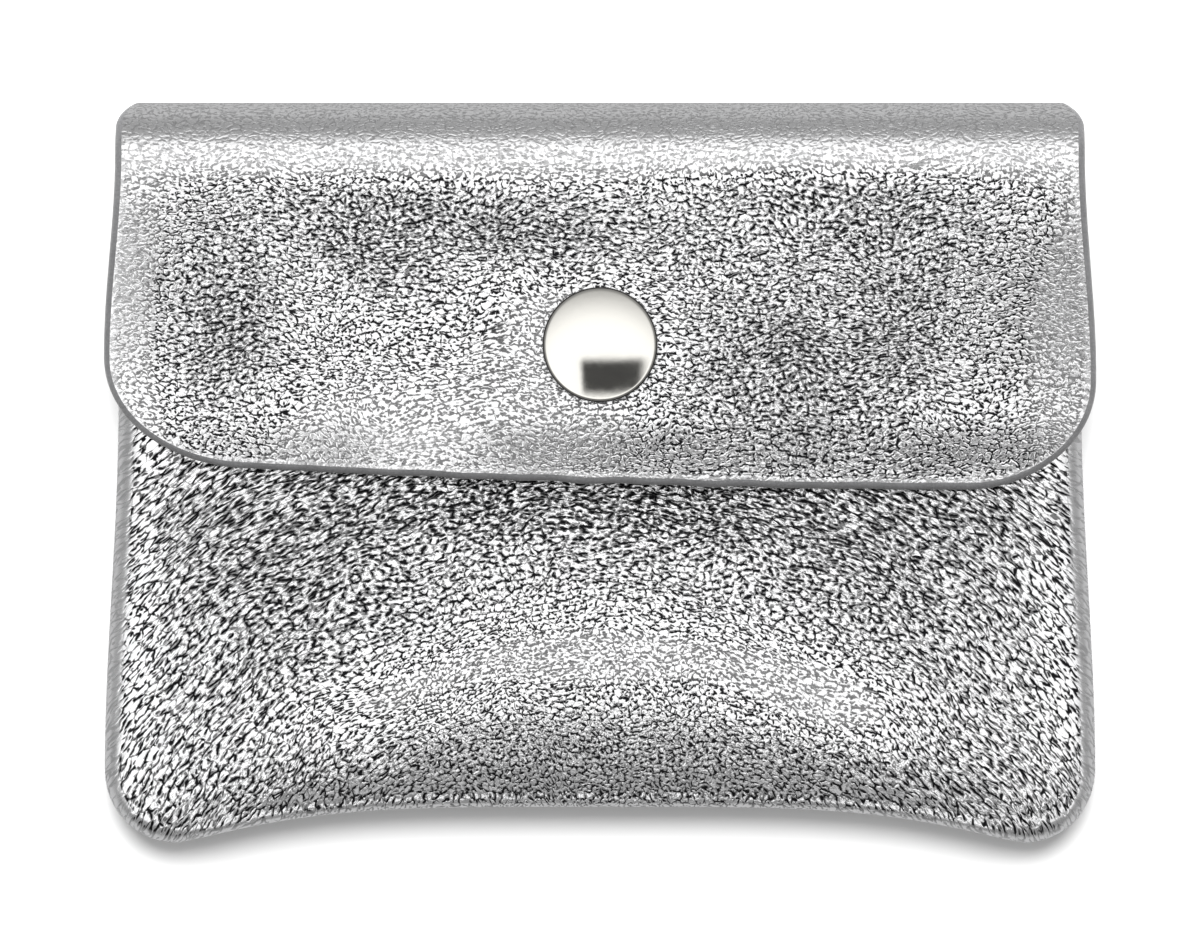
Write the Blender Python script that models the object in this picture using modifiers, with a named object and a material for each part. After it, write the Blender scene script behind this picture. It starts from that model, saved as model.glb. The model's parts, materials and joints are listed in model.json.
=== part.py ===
"""Mini wallet: a small turned leather pouch with a flap and one press stud.

The wallet lies on its back. X runs across it, +Y points to the fold that the flap hangs from, and +Z
points out of the front. The origin is on the table, under the middle of the closed wallet.

The back, the fold and the flap are one leather piece. It is split across its width where it bends, and
each split is a hinge line on the grain side of the fold.
"""

import math

import bmesh
import bpy
from mathutils import Matrix, Vector

mm = 0.001

# Whole wallet, closed
wallet_width = 108.6 * mm  # across the bottom corners
wallet_length = 81.1 * mm  # from the bottom corners to the outside of the fold
leather = 1.0 * mm  # thickness of both leather pieces
gap = 0.3 * mm  # left between pieces that touch

# Outline of the pouch
side_draw_in = 1.5 * mm  # each side comes in by this above the corners
side_draw_length = 40.0 * mm
corner_width = 7.8 * mm
corner_height = 8.0 * mm
bottom_arch = 3.95 * mm  # the middle of the bottom edge lies this far above its corners
mouth_setback = 3.5 * mm  # from the pouch's mouth to the roll of the fold

# Turned edges and their seam
turn_inside = 0.5 * mm  # inner radius of a turned edge
allowance = 4.0 * mm  # leather that lies inside, past the turn
stitch_inset = 2.5 * mm  # from the outline to the stitches
stitch_end = 1.0 * mm  # from the mouth to the first stitch
thread = 0.4 * mm

# Fold
fold_radius = 6.0 * mm  # to the grain side
fold_waist = 1.6 * mm  # the fold's ends draw in by this where it bends most
waist_angle = math.radians(55)  # the drawing in ends this far round from the middle of the roll
hinge_spread = math.radians(60)  # from one hinge line to the next, round the roll

# Fullness of the pouch, above its turned edge
pouch_rise = 3.9 * mm
crest_below_stud = 35.0 * mm

# Outline of the flap
flap_flare_left = 1.45 * mm
flap_flare_right = 1.5 * mm
flap_corner_left_width = 16.2 * mm
flap_corner_left_height = 12.0 * mm
flap_corner_right_width = 14.3 * mm
flap_corner_right_height = 11.85 * mm
flap_drop_left = 34.15 * mm  # from the top of the fold to the flap's edge, at the end of each corner
flap_drop_right = 36.4 * mm
flap_fade = 20.0 * mm  # from the flat round the stud to where the flap lies low
flap_side_droop = 3.4 * mm
flap_side_droop_length = 30.0 * mm
flap_lip_droop = 0.8 * mm

# Press stud
stud_from_fold = 20.65 * mm  # from the top of the fold to the stud's axis
flat_margin = 1.25 * mm  # flat leather past the cap
cap_radius = 6.25 * mm
cap_height = 2.4 * mm
cap_crown = 1.3 * mm  # height of the cap's domed part
cap_edge_radius = 0.55 * mm
cap_sheet = 0.3 * mm
cap_lip = 1.75 * mm  # width of the lip that is closed under the post's flange
socket_radius = 5.8 * mm
socket_height = 2.3 * mm
socket_sheet = 0.35 * mm
socket_mouth_radius = 2.75 * mm
socket_edge_radius = 0.6 * mm
spring_wire = 0.5 * mm
spring_half_width = 3.0 * mm  # from the axis to the middle of a leg
spring_leg = 4.3 * mm
spring_hook = 1.6 * mm
post_radius = 1.5 * mm
post_sheet = 0.3 * mm
post_flange_radius = 5.0 * mm
post_curl_radius = 2.4 * mm
stud_flange_radius = 4.95 * mm
stud_flange_height = 0.5 * mm
stud_nub_height = 1.35 * mm
stud_neck_radius = 1.95 * mm
stud_head_radius = 2.2 * mm
rivet_radius = 1.25 * mm
rivet_bore_radius = 0.8 * mm
rivet_flange_radius = 4.8 * mm
rivet_flange_height = 0.5 * mm
cut_overrun = 2.0 * mm  # cutters run past what they cut by this
merge_distance = 0.001 * mm

# Shares of the pouch and flap that their forms follow, with no unit
full_side_share = 0.35
stud_level_share = 0.68
mouth_level_share = 0.50
arch_power = 4.0
arch_end_power = 1.3
lip_power = 1.8
foot_power = 2.2  # the pouch rises steeply from its bottom seam and flattens at the crest

# Steps of the meshes
arch_steps = 10
corner_steps = 6
side_steps = 12
turn_steps = 6
roll_steps = 6
flap_lip_steps = 12
flap_side_steps = 6
round_steps = 32
small_round_steps = 24
cap_dome_steps = 7
edge_steps = 3
spring_bow_steps = 5

# What follows from the sizes above
half_width = wallet_width / 2
fold_half_width = half_width - side_draw_in
bottom_y = -wallet_length / 2
roll_y = wallet_length / 2 - fold_radius
roll_z = fold_radius
fold_top = 2 * fold_radius
mouth_y = roll_y - mouth_setback
stud_y = roll_y - stud_from_fold
crest_y = stud_y - crest_below_stud
turn_outside = turn_inside + leather
turn_middle = turn_inside + leather / 2
back_turn_z = turn_outside
front_turn_z = 3 * turn_outside + gap
front_edge_z = front_turn_z + turn_middle
cap_flat = cap_radius + flat_margin
stud_seat_z = front_edge_z + leather / 2 + pouch_rise * stud_level_share
stud_z = stud_seat_z + gap
socket_z = stud_z + stud_flange_height + gap
flap_stud_z = socket_z + socket_height + gap + leather
cap_z = flap_stud_z + gap
post_flange_z = cap_z + cap_sheet + gap
post_curl_z = socket_z + socket_height - socket_sheet - gap - post_sheet
rivet_z = stud_seat_z - leather - gap - rivet_flange_height
hinge_angles = (-hinge_spread, 0.0, hinge_spread)
quarter_turn = math.pi / 2
split_angle = gap / 2 / fold_radius


def smooth(t):
    """Eases from 0 to 1 as t goes from 0 to 1."""
    t = min(max(t, 0.0), 1.0)
    return t * t * (3 - 2 * t)


def clear_scene():
    for obj in list(bpy.data.objects):
        bpy.data.objects.remove(obj)


def new_collection(name):
    made = bpy.data.collections.new(name)
    bpy.context.scene.collection.children.link(made)
    return made


def new_material(name, colour, roughness, metallic):
    made = bpy.data.materials.new(name)
    made.use_nodes = True
    shader = made.node_tree.nodes["Principled BSDF"]
    shader.inputs["Base Color"].default_value = (*colour, 1.0)
    shader.inputs["Roughness"].default_value = roughness
    shader.inputs["Metallic"].default_value = metallic
    return made


def leather_material(name):
    return new_material(name, (0.62, 0.62, 0.63), 0.35, 0.8)


def metal_material(name, colour=(0.72, 0.70, 0.66)):
    return new_material(name, colour, 0.12, 1.0)


def add_object(name, data, material):
    obj = bpy.data.objects.new(name, data)
    data.materials.append(material)
    parts.objects.link(obj)
    return obj


def sheet(name, patches, material, mirrored):
    """A leather sheet of grids that share edges, as (columns, rows, place) with place(i, j) a point."""
    mesh = bmesh.new()
    for columns, rows, place in patches:
        made = bmesh.ops.create_grid(mesh, x_segments=columns, y_segments=rows, size=0.5)
        for vertex in made["verts"]:
            i = round((vertex.co.x + 0.5) * columns)
            j = round((vertex.co.y + 0.5) * rows)
            vertex.co = place(i, j)
    bmesh.ops.remove_doubles(mesh, verts=mesh.verts, dist=merge_distance)
    bmesh.ops.recalc_face_normals(mesh, faces=mesh.faces)
    data = bpy.data.meshes.new(name)
    mesh.to_mesh(data)
    mesh.free()
    data.shade_smooth()
    obj = add_object(name, data, material)
    if mirrored:
        mirror = obj.modifiers.new("both_halves", "MIRROR")
        mirror.merge_threshold = merge_distance
    solid = obj.modifiers.new("thickness", "SOLIDIFY")
    solid.thickness = leather
    solid.offset = 0
    solid.use_even_offset = True
    return obj


def cut_round_hole(obj, radius, low, high):
    """Cuts a hole through a panel on the stud's axis."""
    mesh = bmesh.new()
    bmesh.ops.create_cone(
        mesh, cap_ends=True, segments=small_round_steps, radius1=radius, radius2=radius, depth=high - low
    )
    data = bpy.data.meshes.new(obj.name + "_hole")
    mesh.to_mesh(data)
    mesh.free()
    cutter = bpy.data.objects.new(obj.name + "_hole", data)
    cutter.location = (0, stud_y, (low + high) / 2)
    cutter.hide_render = True
    cutter.display_type = "WIRE"
    cutters.objects.link(cutter)
    hole = obj.modifiers.new("hole", "BOOLEAN")
    hole.operation = "DIFFERENCE"
    hole.object = cutter


def turned(name, profile, z, steps, material, closed=False):
    """A turned piece on the stud's axis. Its profile runs down the outer side, as (radius, height)."""
    data = bpy.data.meshes.new(name)
    count = len(profile)
    edges = [(i, i + 1) for i in range(count - 1)]
    if closed:
        edges.append((count - 1, 0))
    data.from_pydata([(radius, 0, height) for radius, height in profile], edges, [])
    obj = add_object(name, data, material)
    obj.location = (0, stud_y, z)
    screw = obj.modifiers.new("turn", "SCREW")
    screw.steps = steps
    screw.render_steps = steps
    screw.use_merge_vertices = True
    screw.merge_threshold = merge_distance
    screw.use_normal_calculate = False
    return obj


def wire(name, points, diameter, material, z):
    """A round wire or thread along points in the XY plane of its own object."""
    curve = bpy.data.curves.new(name, "CURVE")
    curve.dimensions = "3D"
    curve.bevel_depth = diameter / 2
    curve.bevel_resolution = 2
    curve.use_fill_caps = True
    spline = curve.splines.new("POLY")
    spline.points.add(len(points) - 1)
    for point, place in zip(spline.points, points):
        point.co = (place.x, place.y, 0, 1)
    obj = add_object(name, curve, material)
    obj.location.z = z
    return obj


def arc(centre_r, centre_z, radius, start, end, steps):
    """Points of an arc, by its angles in degrees from the outward direction."""
    angles = [math.radians(start + (end - start) * k / steps) for k in range(steps + 1)]
    return [(centre_r + radius * math.cos(a), centre_z + radius * math.sin(a)) for a in angles]


def curve_normals(points):
    """The outward normal at each point of an outline that runs anticlockwise."""
    normals = []
    for k in range(len(points)):
        along = points[min(k + 1, len(points) - 1)] - points[max(k - 1, 0)]
        normals.append(Vector((along.y, -along.x)).normalized())
    return normals


def pouch_outline():
    """Half of the pouch's outline, from the middle of the bottom, round the corner, to the mouth."""
    foot_x = half_width - corner_width
    points = []
    for k in range(arch_steps):
        share = k / arch_steps
        rise = bottom_arch * (1 - share**arch_power) ** arch_end_power
        points.append(Vector((foot_x * share, bottom_y + rise)))
    for k in range(corner_steps):
        angle = quarter_turn * (k / corner_steps - 1)
        x = foot_x + corner_width * math.cos(angle)
        points.append(Vector((x, bottom_y + corner_height * (1 + math.sin(angle)))))
    shoulder_y = bottom_y + corner_height
    for k in range(side_steps + 1):
        y = shoulder_y + (mouth_y - shoulder_y) * k / side_steps
        draw_in = side_draw_in * smooth((y - shoulder_y) / side_draw_length)
        points.append(Vector((half_width - draw_in, y)))
    return points


outline = pouch_outline()
outline_normals = curve_normals(outline)
outline_normals[0] = Vector((0, -1))
outline_normals[-1] = Vector((1, 0))
corner_index = arch_steps + corner_steps // 2  # where the bottom and the side of a panel's grid meet


def inset_outline(distance):
    return [point - normal * distance for point, normal in zip(outline, outline_normals)]


def coons(bottom, top, left, right, i, j):
    """A point of the patch that four edges bound, each edge a list of points."""
    u = i / (len(bottom) - 1)
    v = j / (len(left) - 1)
    along = bottom[i] * (1 - v) + top[i] * v
    across = left[j] * (1 - u) + right[j] * u
    corners = (bottom[0] * (1 - u) + bottom[-1] * u) * (1 - v) + (top[0] * (1 - u) + top[-1] * u) * v
    return along + across - corners


def spaced(start, end, steps):
    return [start.lerp(end, k / steps) for k in range(steps + 1)]


panel_edge = inset_outline(turn_outside)
panel_bottom = panel_edge[: corner_index + 1]
panel_side = panel_edge[corner_index:]
panel_columns = len(panel_bottom) - 1
panel_rows = len(panel_side) - 1
mouth_middle = Vector((0, mouth_y))
panel_mouth = spaced(mouth_middle, panel_side[-1], panel_columns)
panel_middle = spaced(panel_bottom[0], mouth_middle, panel_rows)


def panel_point(i, j):
    return coons(panel_bottom, panel_mouth, panel_middle, panel_side, i, j)


def fullness(i, j):
    """How far the front panel swells at a point of its grid, as a share of pouch_rise."""
    y = panel_point(i, j).y
    foot = panel_bottom[i].y
    side = 1 - smooth((i / panel_columns - full_side_share) / (1 - full_side_share))
    below_flat = stud_y - cap_flat
    above_flat = stud_y + cap_flat
    if y < crest_y:
        level = 1 - ((crest_y - y) / (crest_y - foot)) ** foot_power
    elif y < below_flat:
        level = 1 + (stud_level_share - 1) * smooth((y - crest_y) / (below_flat - crest_y))
    else:
        drop = stud_level_share - mouth_level_share
        level = stud_level_share - drop * smooth((y - above_flat) / (mouth_y - above_flat))
    return side * level


def turned_edge(turn_z, side):
    """The turned edge and its allowance as a grid patch. side is -1 on the back and 1 on the front."""
    inner = inset_outline(turn_outside)
    innermost = inset_outline(turn_outside + allowance)

    def place(i, j):
        if j > turn_steps:
            point = innermost[i]
            return Vector((point.x, point.y, turn_z - side * turn_middle))
        angle = quarter_turn * (1 - 2 * j / turn_steps)
        point = inner[i] + outline_normals[i] * turn_middle * math.cos(angle)
        return Vector((point.x, point.y, turn_z + side * turn_middle * math.sin(angle)))

    return len(outline) - 1, turn_steps + 1, place


def roll_half_width(angle):
    """Half the leather's width on the roll of the fold, which draws in where it bends most."""
    bend = max(0.0, math.cos(min(abs(angle) / waist_angle, 1.0) * quarter_turn))
    return fold_half_width - fold_waist * bend**2


def roll_point(share, angle):
    """A point in the middle of the leather on the roll. share runs from -1 to 1 across it."""
    radius = fold_radius - leather / 2
    x = share * roll_half_width(angle)
    return Vector((x, roll_y + radius * math.cos(angle), roll_z + radius * math.sin(angle)))


def hinge_place(angle):
    """A hinge line's point on the grain side of the roll."""
    return Vector((0, roll_y + fold_radius * math.cos(angle), roll_z + fold_radius * math.sin(angle)))


def make_back_panel():
    def field(i, j):
        point = panel_point(i, j)
        return Vector((point.x, point.y, leather / 2))

    def neck(i, j):
        start = Vector((*panel_mouth[i], leather / 2))
        end = roll_point(i / panel_columns, -quarter_turn)
        return start.lerp(end, j)

    def roll(i, j):
        sweep = hinge_angles[0] - split_angle + quarter_turn
        angle = sweep * j / (roll_steps // 2) - quarter_turn
        return roll_point(i / panel_columns, angle)

    patches = [
        (panel_columns, panel_rows, field),
        (panel_columns, 1, neck),
        (panel_columns, roll_steps // 2, roll),
        turned_edge(back_turn_z, -1),
    ]
    return sheet("back_panel", patches, leather_material("silver_leather_back"), True)


def make_front_panel():
    def field(i, j):
        point = panel_point(i, j)
        return Vector((point.x, point.y, front_edge_z + pouch_rise * fullness(i, j)))

    patches = [(panel_columns, panel_rows, field), turned_edge(front_turn_z, 1)]
    obj = sheet("front_panel", patches, leather_material("silver_leather_front"), True)
    low = stud_seat_z - leather - cut_overrun
    cut_round_hole(obj, rivet_radius + gap, low, stud_seat_z + cut_overrun)
    return obj


def make_fold(name, start, end):
    """One of the two strips between the hinge lines."""
    first = start + split_angle
    last = end - split_angle

    def place(i, j):
        return roll_point(i, first + (last - first) * j / roll_steps)

    return sheet(name, [(1, roll_steps, place)], leather_material("silver_leather_" + name), True)


def flap_outline():
    """The flap's edge as three lists: its left side, its lip and its right side, met inside the corners."""
    left_x = -(fold_half_width + flap_flare_left)
    right_x = fold_half_width + flap_flare_right
    left_end = Vector((left_x + flap_corner_left_width, roll_y - flap_drop_left))
    right_end = Vector((right_x - flap_corner_right_width, roll_y - flap_drop_right))

    def side(sign, flare, corner_y):
        points = []
        for k in range(flap_side_steps):
            y = roll_y + (corner_y - roll_y) * k / flap_side_steps
            points.append(Vector((sign * (fold_half_width + flare * smooth(k / flap_side_steps)), y)))
        return points

    def corner(sign, end, width, height):
        points = []
        for k in range(corner_steps + 1):
            angle = quarter_turn * k / corner_steps
            x = end.x + sign * width * math.cos(angle)
            points.append(Vector((x, end.y + height * (1 - math.sin(angle)))))
        return points

    left = side(-1, flap_flare_left, left_end.y + flap_corner_left_height)
    left += corner(-1, left_end, flap_corner_left_width, flap_corner_left_height)
    right = side(1, flap_flare_right, right_end.y + flap_corner_right_height)
    right += corner(1, right_end, flap_corner_right_width, flap_corner_right_height)
    lip = []
    for k in range(1, flap_lip_steps):
        share = k / flap_lip_steps
        y = left_end.y + (right_end.y - left_end.y) * (1 - (1 - share) ** lip_power)
        lip.append(Vector((left_end.x + (right_end.x - left_end.x) * share, y)))
    turn = flap_side_steps + corner_steps // 2
    whole_lip = left[turn:] + lip + right[turn:][::-1]
    return left[: turn + 1], whole_lip, right[: turn + 1]


def flap_height(x, y):
    """The height of the flap's grain side."""
    outside = max(0.0, abs(x) - cap_flat)
    top = stud_y + cap_flat
    bottom = stud_y - cap_flat
    lip_y = roll_y - flap_drop_right
    lift = (1 - smooth(outside / flap_fade)) * smooth((roll_y - y) / (roll_y - top))
    droop = (outside / (half_width - cap_flat)) ** 2 * smooth((roll_y - y) / flap_side_droop_length)
    lip = smooth((bottom - y) / (bottom - lip_y))
    return fold_top + (flap_stud_z - fold_top) * lift - flap_side_droop * droop - flap_lip_droop * lip


def make_flap_panel():
    left, lip, right = flap_outline()
    columns = len(lip) - 1
    rows = len(left) - 1
    top = spaced(left[0], right[0], columns)

    def field(i, j):
        point = coons(top, lip, left, right, i, j)
        return Vector((point.x, point.y, flap_height(point.x, point.y) - leather / 2))

    def roll(i, j):
        start = hinge_angles[2] + split_angle
        angle = start + (quarter_turn - start) * j / (roll_steps // 2)
        return roll_point(2 * i / columns - 1, angle)

    patches = [(columns, roll_steps // 2, roll), (columns, rows, field)]
    obj = sheet("flap_panel", patches, leather_material("silver_leather_flap"), False)
    low = flap_stud_z - leather - cut_overrun
    cut_round_hole(obj, post_radius + gap, low, flap_stud_z + cut_overrun)
    return obj


def make_seam(name, z):
    """One thread of the lockstitch, all along the turned edges."""
    half = inset_outline(stitch_inset)
    half[-1] = half[-1] - Vector((0, stitch_end))
    left = [Vector((-point.x, point.y)) for point in half[:0:-1]]
    thread_material = new_material(name + "_thread", (0.45, 0.45, 0.44), 0.6, 0.0)
    return wire(name, left + half, thread, thread_material, z)


def make_cap_shell():
    """The domed cap, its lip closed in under the post's flange."""
    shoulder_r = cap_radius - cap_edge_radius
    shoulder_z = cap_height - cap_crown
    edge_start = 90 - math.degrees(math.atan(2 * cap_crown / shoulder_r))
    outer = []
    inner = []
    for k in range(cap_dome_steps):
        share = k / cap_dome_steps
        height = shoulder_z + cap_crown * (1 - share**2)
        outer.append((shoulder_r * share, height))
        inner.append((shoulder_r * share, height - cap_sheet))
    side = arc(shoulder_r, shoulder_z - cap_edge_radius, cap_edge_radius, edge_start, 0, edge_steps)
    side += arc(shoulder_r, cap_edge_radius, cap_edge_radius, 0, -90, edge_steps)
    lip_r = cap_radius - cap_lip
    inside_radius = cap_edge_radius - cap_sheet
    inside = arc(shoulder_r, cap_edge_radius, inside_radius, -90, 0, edge_steps)
    inside += arc(shoulder_r, shoulder_z - cap_edge_radius, inside_radius, 0, edge_start, edge_steps)
    profile = outer + side + [(lip_r, 0), (lip_r, cap_sheet)] + inside + inner[::-1]
    return turned("cap_shell", profile, cap_z, round_steps, metal_material("nickel_cap"))


def make_cap_post():
    """The eyelet post: a flange held in the cap, and a barrel curled over inside the socket."""
    bore_radius = post_radius - post_sheet
    depth = post_flange_z - post_curl_z
    profile = [
        (bore_radius, post_sheet),
        (post_flange_radius, post_sheet),
        (post_flange_radius, 0),
        (post_radius, 0),
        (post_radius, post_sheet - depth),
        (post_curl_radius, post_sheet - depth),
        (post_curl_radius, -depth),
        (bore_radius, -depth),
    ]
    material = metal_material("nickel_post")
    return turned("cap_post", profile, post_flange_z, small_round_steps, material, closed=True)


def make_socket_body():
    """The pressed socket cup, open below for the stud and above for the post."""
    shoulder = socket_radius - socket_edge_radius
    inside = socket_radius - socket_sheet
    top_hole = post_radius + gap
    profile = [(top_hole, socket_height)]
    profile += arc(shoulder, socket_height - socket_edge_radius, socket_edge_radius, 90, 0, edge_steps)
    profile += arc(shoulder, socket_edge_radius, socket_edge_radius, 0, -90, edge_steps)
    profile += [
        (socket_mouth_radius, 0),
        (socket_mouth_radius, socket_sheet),
        (inside, socket_sheet),
        (inside, socket_height - socket_sheet),
        (top_hole, socket_height - socket_sheet),
    ]
    material = metal_material("nickel_socket")
    return turned("socket_body", profile, socket_z, small_round_steps, material, closed=True)


def make_socket_spring():
    """The wire spring: two legs beside the stud, a round end, and two hooks that face each other."""
    top = spring_leg / 2 - spring_half_width / 4
    low = top - spring_leg
    half = [Vector((spring_half_width - spring_hook, low - spring_half_width / 3))]
    half.append(Vector((spring_half_width - spring_hook / 4, low - spring_half_width / 4)))
    half.append(Vector((spring_half_width, low)))
    for k in range(spring_bow_steps):
        angle = quarter_turn * k / spring_bow_steps
        bow = Vector((math.cos(angle), math.sin(angle))) * spring_half_width
        half.append(Vector((0, top)) + bow)
    end = Vector((0, top + spring_half_width))
    other = [Vector((-point.x, point.y)) for point in half[::-1]]
    z = socket_z + socket_sheet + gap + spring_wire / 2
    material = metal_material("spring_wire", (0.5, 0.48, 0.45))
    obj = wire("socket_spring", half + [end] + other, spring_wire, material, z)
    obj.location.y = stud_y
    return obj


def make_stud():
    """The stud: a flange on the leather, and a hollow nub with a neck that the spring closes on."""
    top = stud_flange_height + stud_nub_height
    head_z = top - stud_head_radius / 4
    wall = stud_head_radius - stud_neck_radius
    bore = rivet_radius + gap
    profile = [
        (0, top),
        (stud_head_radius / 2, top),
        (stud_head_radius - wall / 2, top - wall),
        (stud_head_radius, head_z),
        (stud_neck_radius, stud_flange_height + wall),
        (stud_neck_radius, stud_flange_height),
        (stud_flange_radius - stud_flange_height / 2, stud_flange_height),
        (stud_flange_radius, stud_flange_height / 2),
        (stud_flange_radius, 0),
        (bore, 0),
        (bore, top - wall),
        (0, top - wall),
    ]
    return turned("stud", profile, stud_z, small_round_steps, metal_material("nickel_stud"))


def make_stud_post():
    """The rivet that holds the stud, from inside the pouch."""
    height = stud_z + stud_flange_height + stud_nub_height - gap - rivet_z
    height -= stud_head_radius - stud_neck_radius
    profile = [
        (0, rivet_flange_height * 2),
        (rivet_bore_radius, rivet_flange_height * 2),
        (rivet_bore_radius, height),
        (rivet_radius, height),
        (rivet_radius, rivet_flange_height),
        (rivet_flange_radius - rivet_flange_height / 2, rivet_flange_height),
        (rivet_flange_radius, rivet_flange_height / 2),
        (rivet_flange_radius - rivet_flange_height / 2, 0),
        (0, 0),
    ]
    return turned("stud_post", profile, rivet_z, small_round_steps, metal_material("nickel_rivet"))


def add_hinge(name, angle, parent):
    """An empty on one of the fold's hinge lines."""
    hinge = bpy.data.objects.new(name, None)
    hinge.empty_display_size = fold_radius
    hinge.location = hinge_place(angle)
    parts.objects.link(hinge)
    if parent:
        hang(hinge, parent)
    return hinge


def hang(obj, parent):
    """Makes obj a child of parent and leaves it where it is."""
    bpy.context.view_layer.update()
    obj.parent = parent
    obj.matrix_parent_inverse = Matrix.Translation(-parent.matrix_world.translation)


clear_scene()
parts = new_collection("mini_wallet")
cutters = new_collection("cutters")

make_back_panel()
make_front_panel()
needle_z = front_turn_z - turn_middle + leather / 2 + gap + thread / 2
bobbin_z = back_turn_z + turn_middle - leather / 2 - gap - thread / 2
make_seam("seam_needle_thread", needle_z)
make_seam("seam_bobbin_thread", bobbin_z)
make_stud()
make_stud_post()

lower_hinge = add_hinge("lower_hinge_line", hinge_angles[0], None)
middle_hinge = add_hinge("middle_hinge_line", hinge_angles[1], lower_hinge)
upper_hinge = add_hinge("upper_hinge_line", hinge_angles[2], middle_hinge)
hang(make_fold("fold_lower", hinge_angles[0], hinge_angles[1]), lower_hinge)
hang(make_fold("fold_upper", hinge_angles[1], hinge_angles[2]), middle_hinge)
for moving in (
    make_flap_panel(),
    make_cap_shell(),
    make_cap_post(),
    make_socket_body(),
    make_socket_spring(),
):
    hang(moving, upper_hinge)

for place in (lower_hinge, middle_hinge, upper_hinge):
    print(place.name, [round(value, 6) for value in place.matrix_world.translation])
print("stud axis y", round(stud_y, 6), "stud seat z", round(stud_seat_z, 6), "cap top z", cap_z + cap_height)
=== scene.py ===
# %% [markdown]
# # A small pouch wallet in silver foil leather
#
# The real wallet is two pieces of leather. The front panel is sewn face to face to the back of a longer
# piece, and the pouch is turned right side out, so its seam lies inside a soft rolled edge. The longer
# piece runs on past the pouch, folds over and comes down as the flap, which a press stud holds.
#
# Everything that moves or carries was settled before this scene and comes in as a fixed frame. Here each
# leather piece is made again as leather: cut flat, given its thickness, turned, draped over the frame and
# grained. Metal parts are turned again with finer profiles, so that they reflect without facets.

# %% Load the frame
import json
import math

import bpy
import numpy as np
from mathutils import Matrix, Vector


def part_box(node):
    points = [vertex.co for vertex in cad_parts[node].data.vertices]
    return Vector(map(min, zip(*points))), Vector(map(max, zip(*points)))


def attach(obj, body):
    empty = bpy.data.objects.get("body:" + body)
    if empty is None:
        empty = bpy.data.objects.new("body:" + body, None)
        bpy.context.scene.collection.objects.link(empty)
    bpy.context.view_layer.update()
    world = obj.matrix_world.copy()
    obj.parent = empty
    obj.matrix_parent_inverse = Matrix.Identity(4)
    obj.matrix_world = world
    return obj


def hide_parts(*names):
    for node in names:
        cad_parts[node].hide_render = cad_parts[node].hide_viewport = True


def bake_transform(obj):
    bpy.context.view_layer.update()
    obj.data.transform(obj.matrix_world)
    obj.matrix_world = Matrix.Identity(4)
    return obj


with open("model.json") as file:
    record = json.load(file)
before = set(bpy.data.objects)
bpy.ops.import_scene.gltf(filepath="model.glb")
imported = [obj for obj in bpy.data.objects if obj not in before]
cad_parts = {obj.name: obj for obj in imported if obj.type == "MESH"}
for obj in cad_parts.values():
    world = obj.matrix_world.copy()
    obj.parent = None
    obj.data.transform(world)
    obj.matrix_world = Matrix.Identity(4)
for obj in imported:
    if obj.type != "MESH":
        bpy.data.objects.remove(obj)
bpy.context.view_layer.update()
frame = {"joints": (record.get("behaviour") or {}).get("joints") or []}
mm = 0.001

# %% [markdown]
# ## Sizes
#
# The frame gives the wallet's box, its hinge lines and the place of the stud, so these are read and not
# typed. The sizes that a pattern maker would choose come later, each in the cell that first needs it.

# %% Read the sizes that the frame holds
back_low, back_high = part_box("back_panel")
cap_low, cap_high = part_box("cap_shell")
hinges = {joint["name"]: Vector(joint["pos_m"]) for joint in frame["joints"]}

leather = 1.0 * mm  # thickness of both pieces
clearance = 0.3 * mm  # left between pieces that touch
half_width = back_high.x
bottom_y = back_low.y
front_base_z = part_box("front_panel")[0].z
stud_y = (cap_low.y + cap_high.y) / 2
fold_radius = hinges["middle_fold_bend"].z
fold_top = 2 * fold_radius
roll_y = hinges["middle_fold_bend"].y - fold_radius
fold_half_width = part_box("fold_upper")[1].x
print("fold radius", round(fold_radius / mm, 2), "mm, stud at y", round(stud_y / mm, 2), "mm")

# %% [markdown]
# ## Small helpers
#
# Blender keeps a mesh's points and attributes in flat arrays. These few functions read and write them, so
# that the cells below can speak of places and not of arrays. `ease` is the soft step that most leather
# shapes here are made of.

# %% Read and write points and attributes
def ease(share):
    share = np.clip(share, 0, 1)
    return share * share * (3 - 2 * share)


def read_points(obj):
    points = np.empty(len(obj.data.vertices) * 3, np.float32)
    obj.data.vertices.foreach_get("co", points)
    return points.reshape(-1, 3).astype(float)


def write_points(obj, points):
    obj.data.vertices.foreach_set("co", np.asarray(points, np.float32).ravel())
    obj.data.update()


def read_attribute(obj, name, width):
    """An attribute's values, or zeros where the mesh doesn't have it yet."""
    values = np.zeros(len(obj.data.vertices) * width, np.float32)
    if name in obj.data.attributes:
        obj.data.attributes[name].data.foreach_get("value" if width == 1 else "vector", values)
    return values.astype(float).reshape(-1 if width == 1 else (-1, width))


def write_attribute(obj, name, values):
    flat = np.ndim(values) == 1
    kind = "FLOAT" if flat else "FLOAT_VECTOR"
    layer = obj.data.attributes.get(name) or obj.data.attributes.new(name, kind, "POINT")
    layer.data.foreach_set("value" if flat else "vector", np.asarray(values, np.float32).ravel())


print("ease goes through", [round(float(ease(share)), 3) for share in (0, 0.25, 0.5, 0.75, 1)])

# %% Pick an object and apply its modifiers
def make_active(obj):
    bpy.ops.object.select_all(action="DESELECT")
    obj.select_set(True)
    bpy.context.view_layer.objects.active = obj


def apply_modifiers(obj):
    make_active(obj)
    for modifier in list(obj.modifiers):
        bpy.ops.object.modifier_apply(modifier=modifier.name)


bpy.ops.object.select_all(action="DESELECT")
print("selected after loading:", len(bpy.context.selected_objects))

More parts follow.
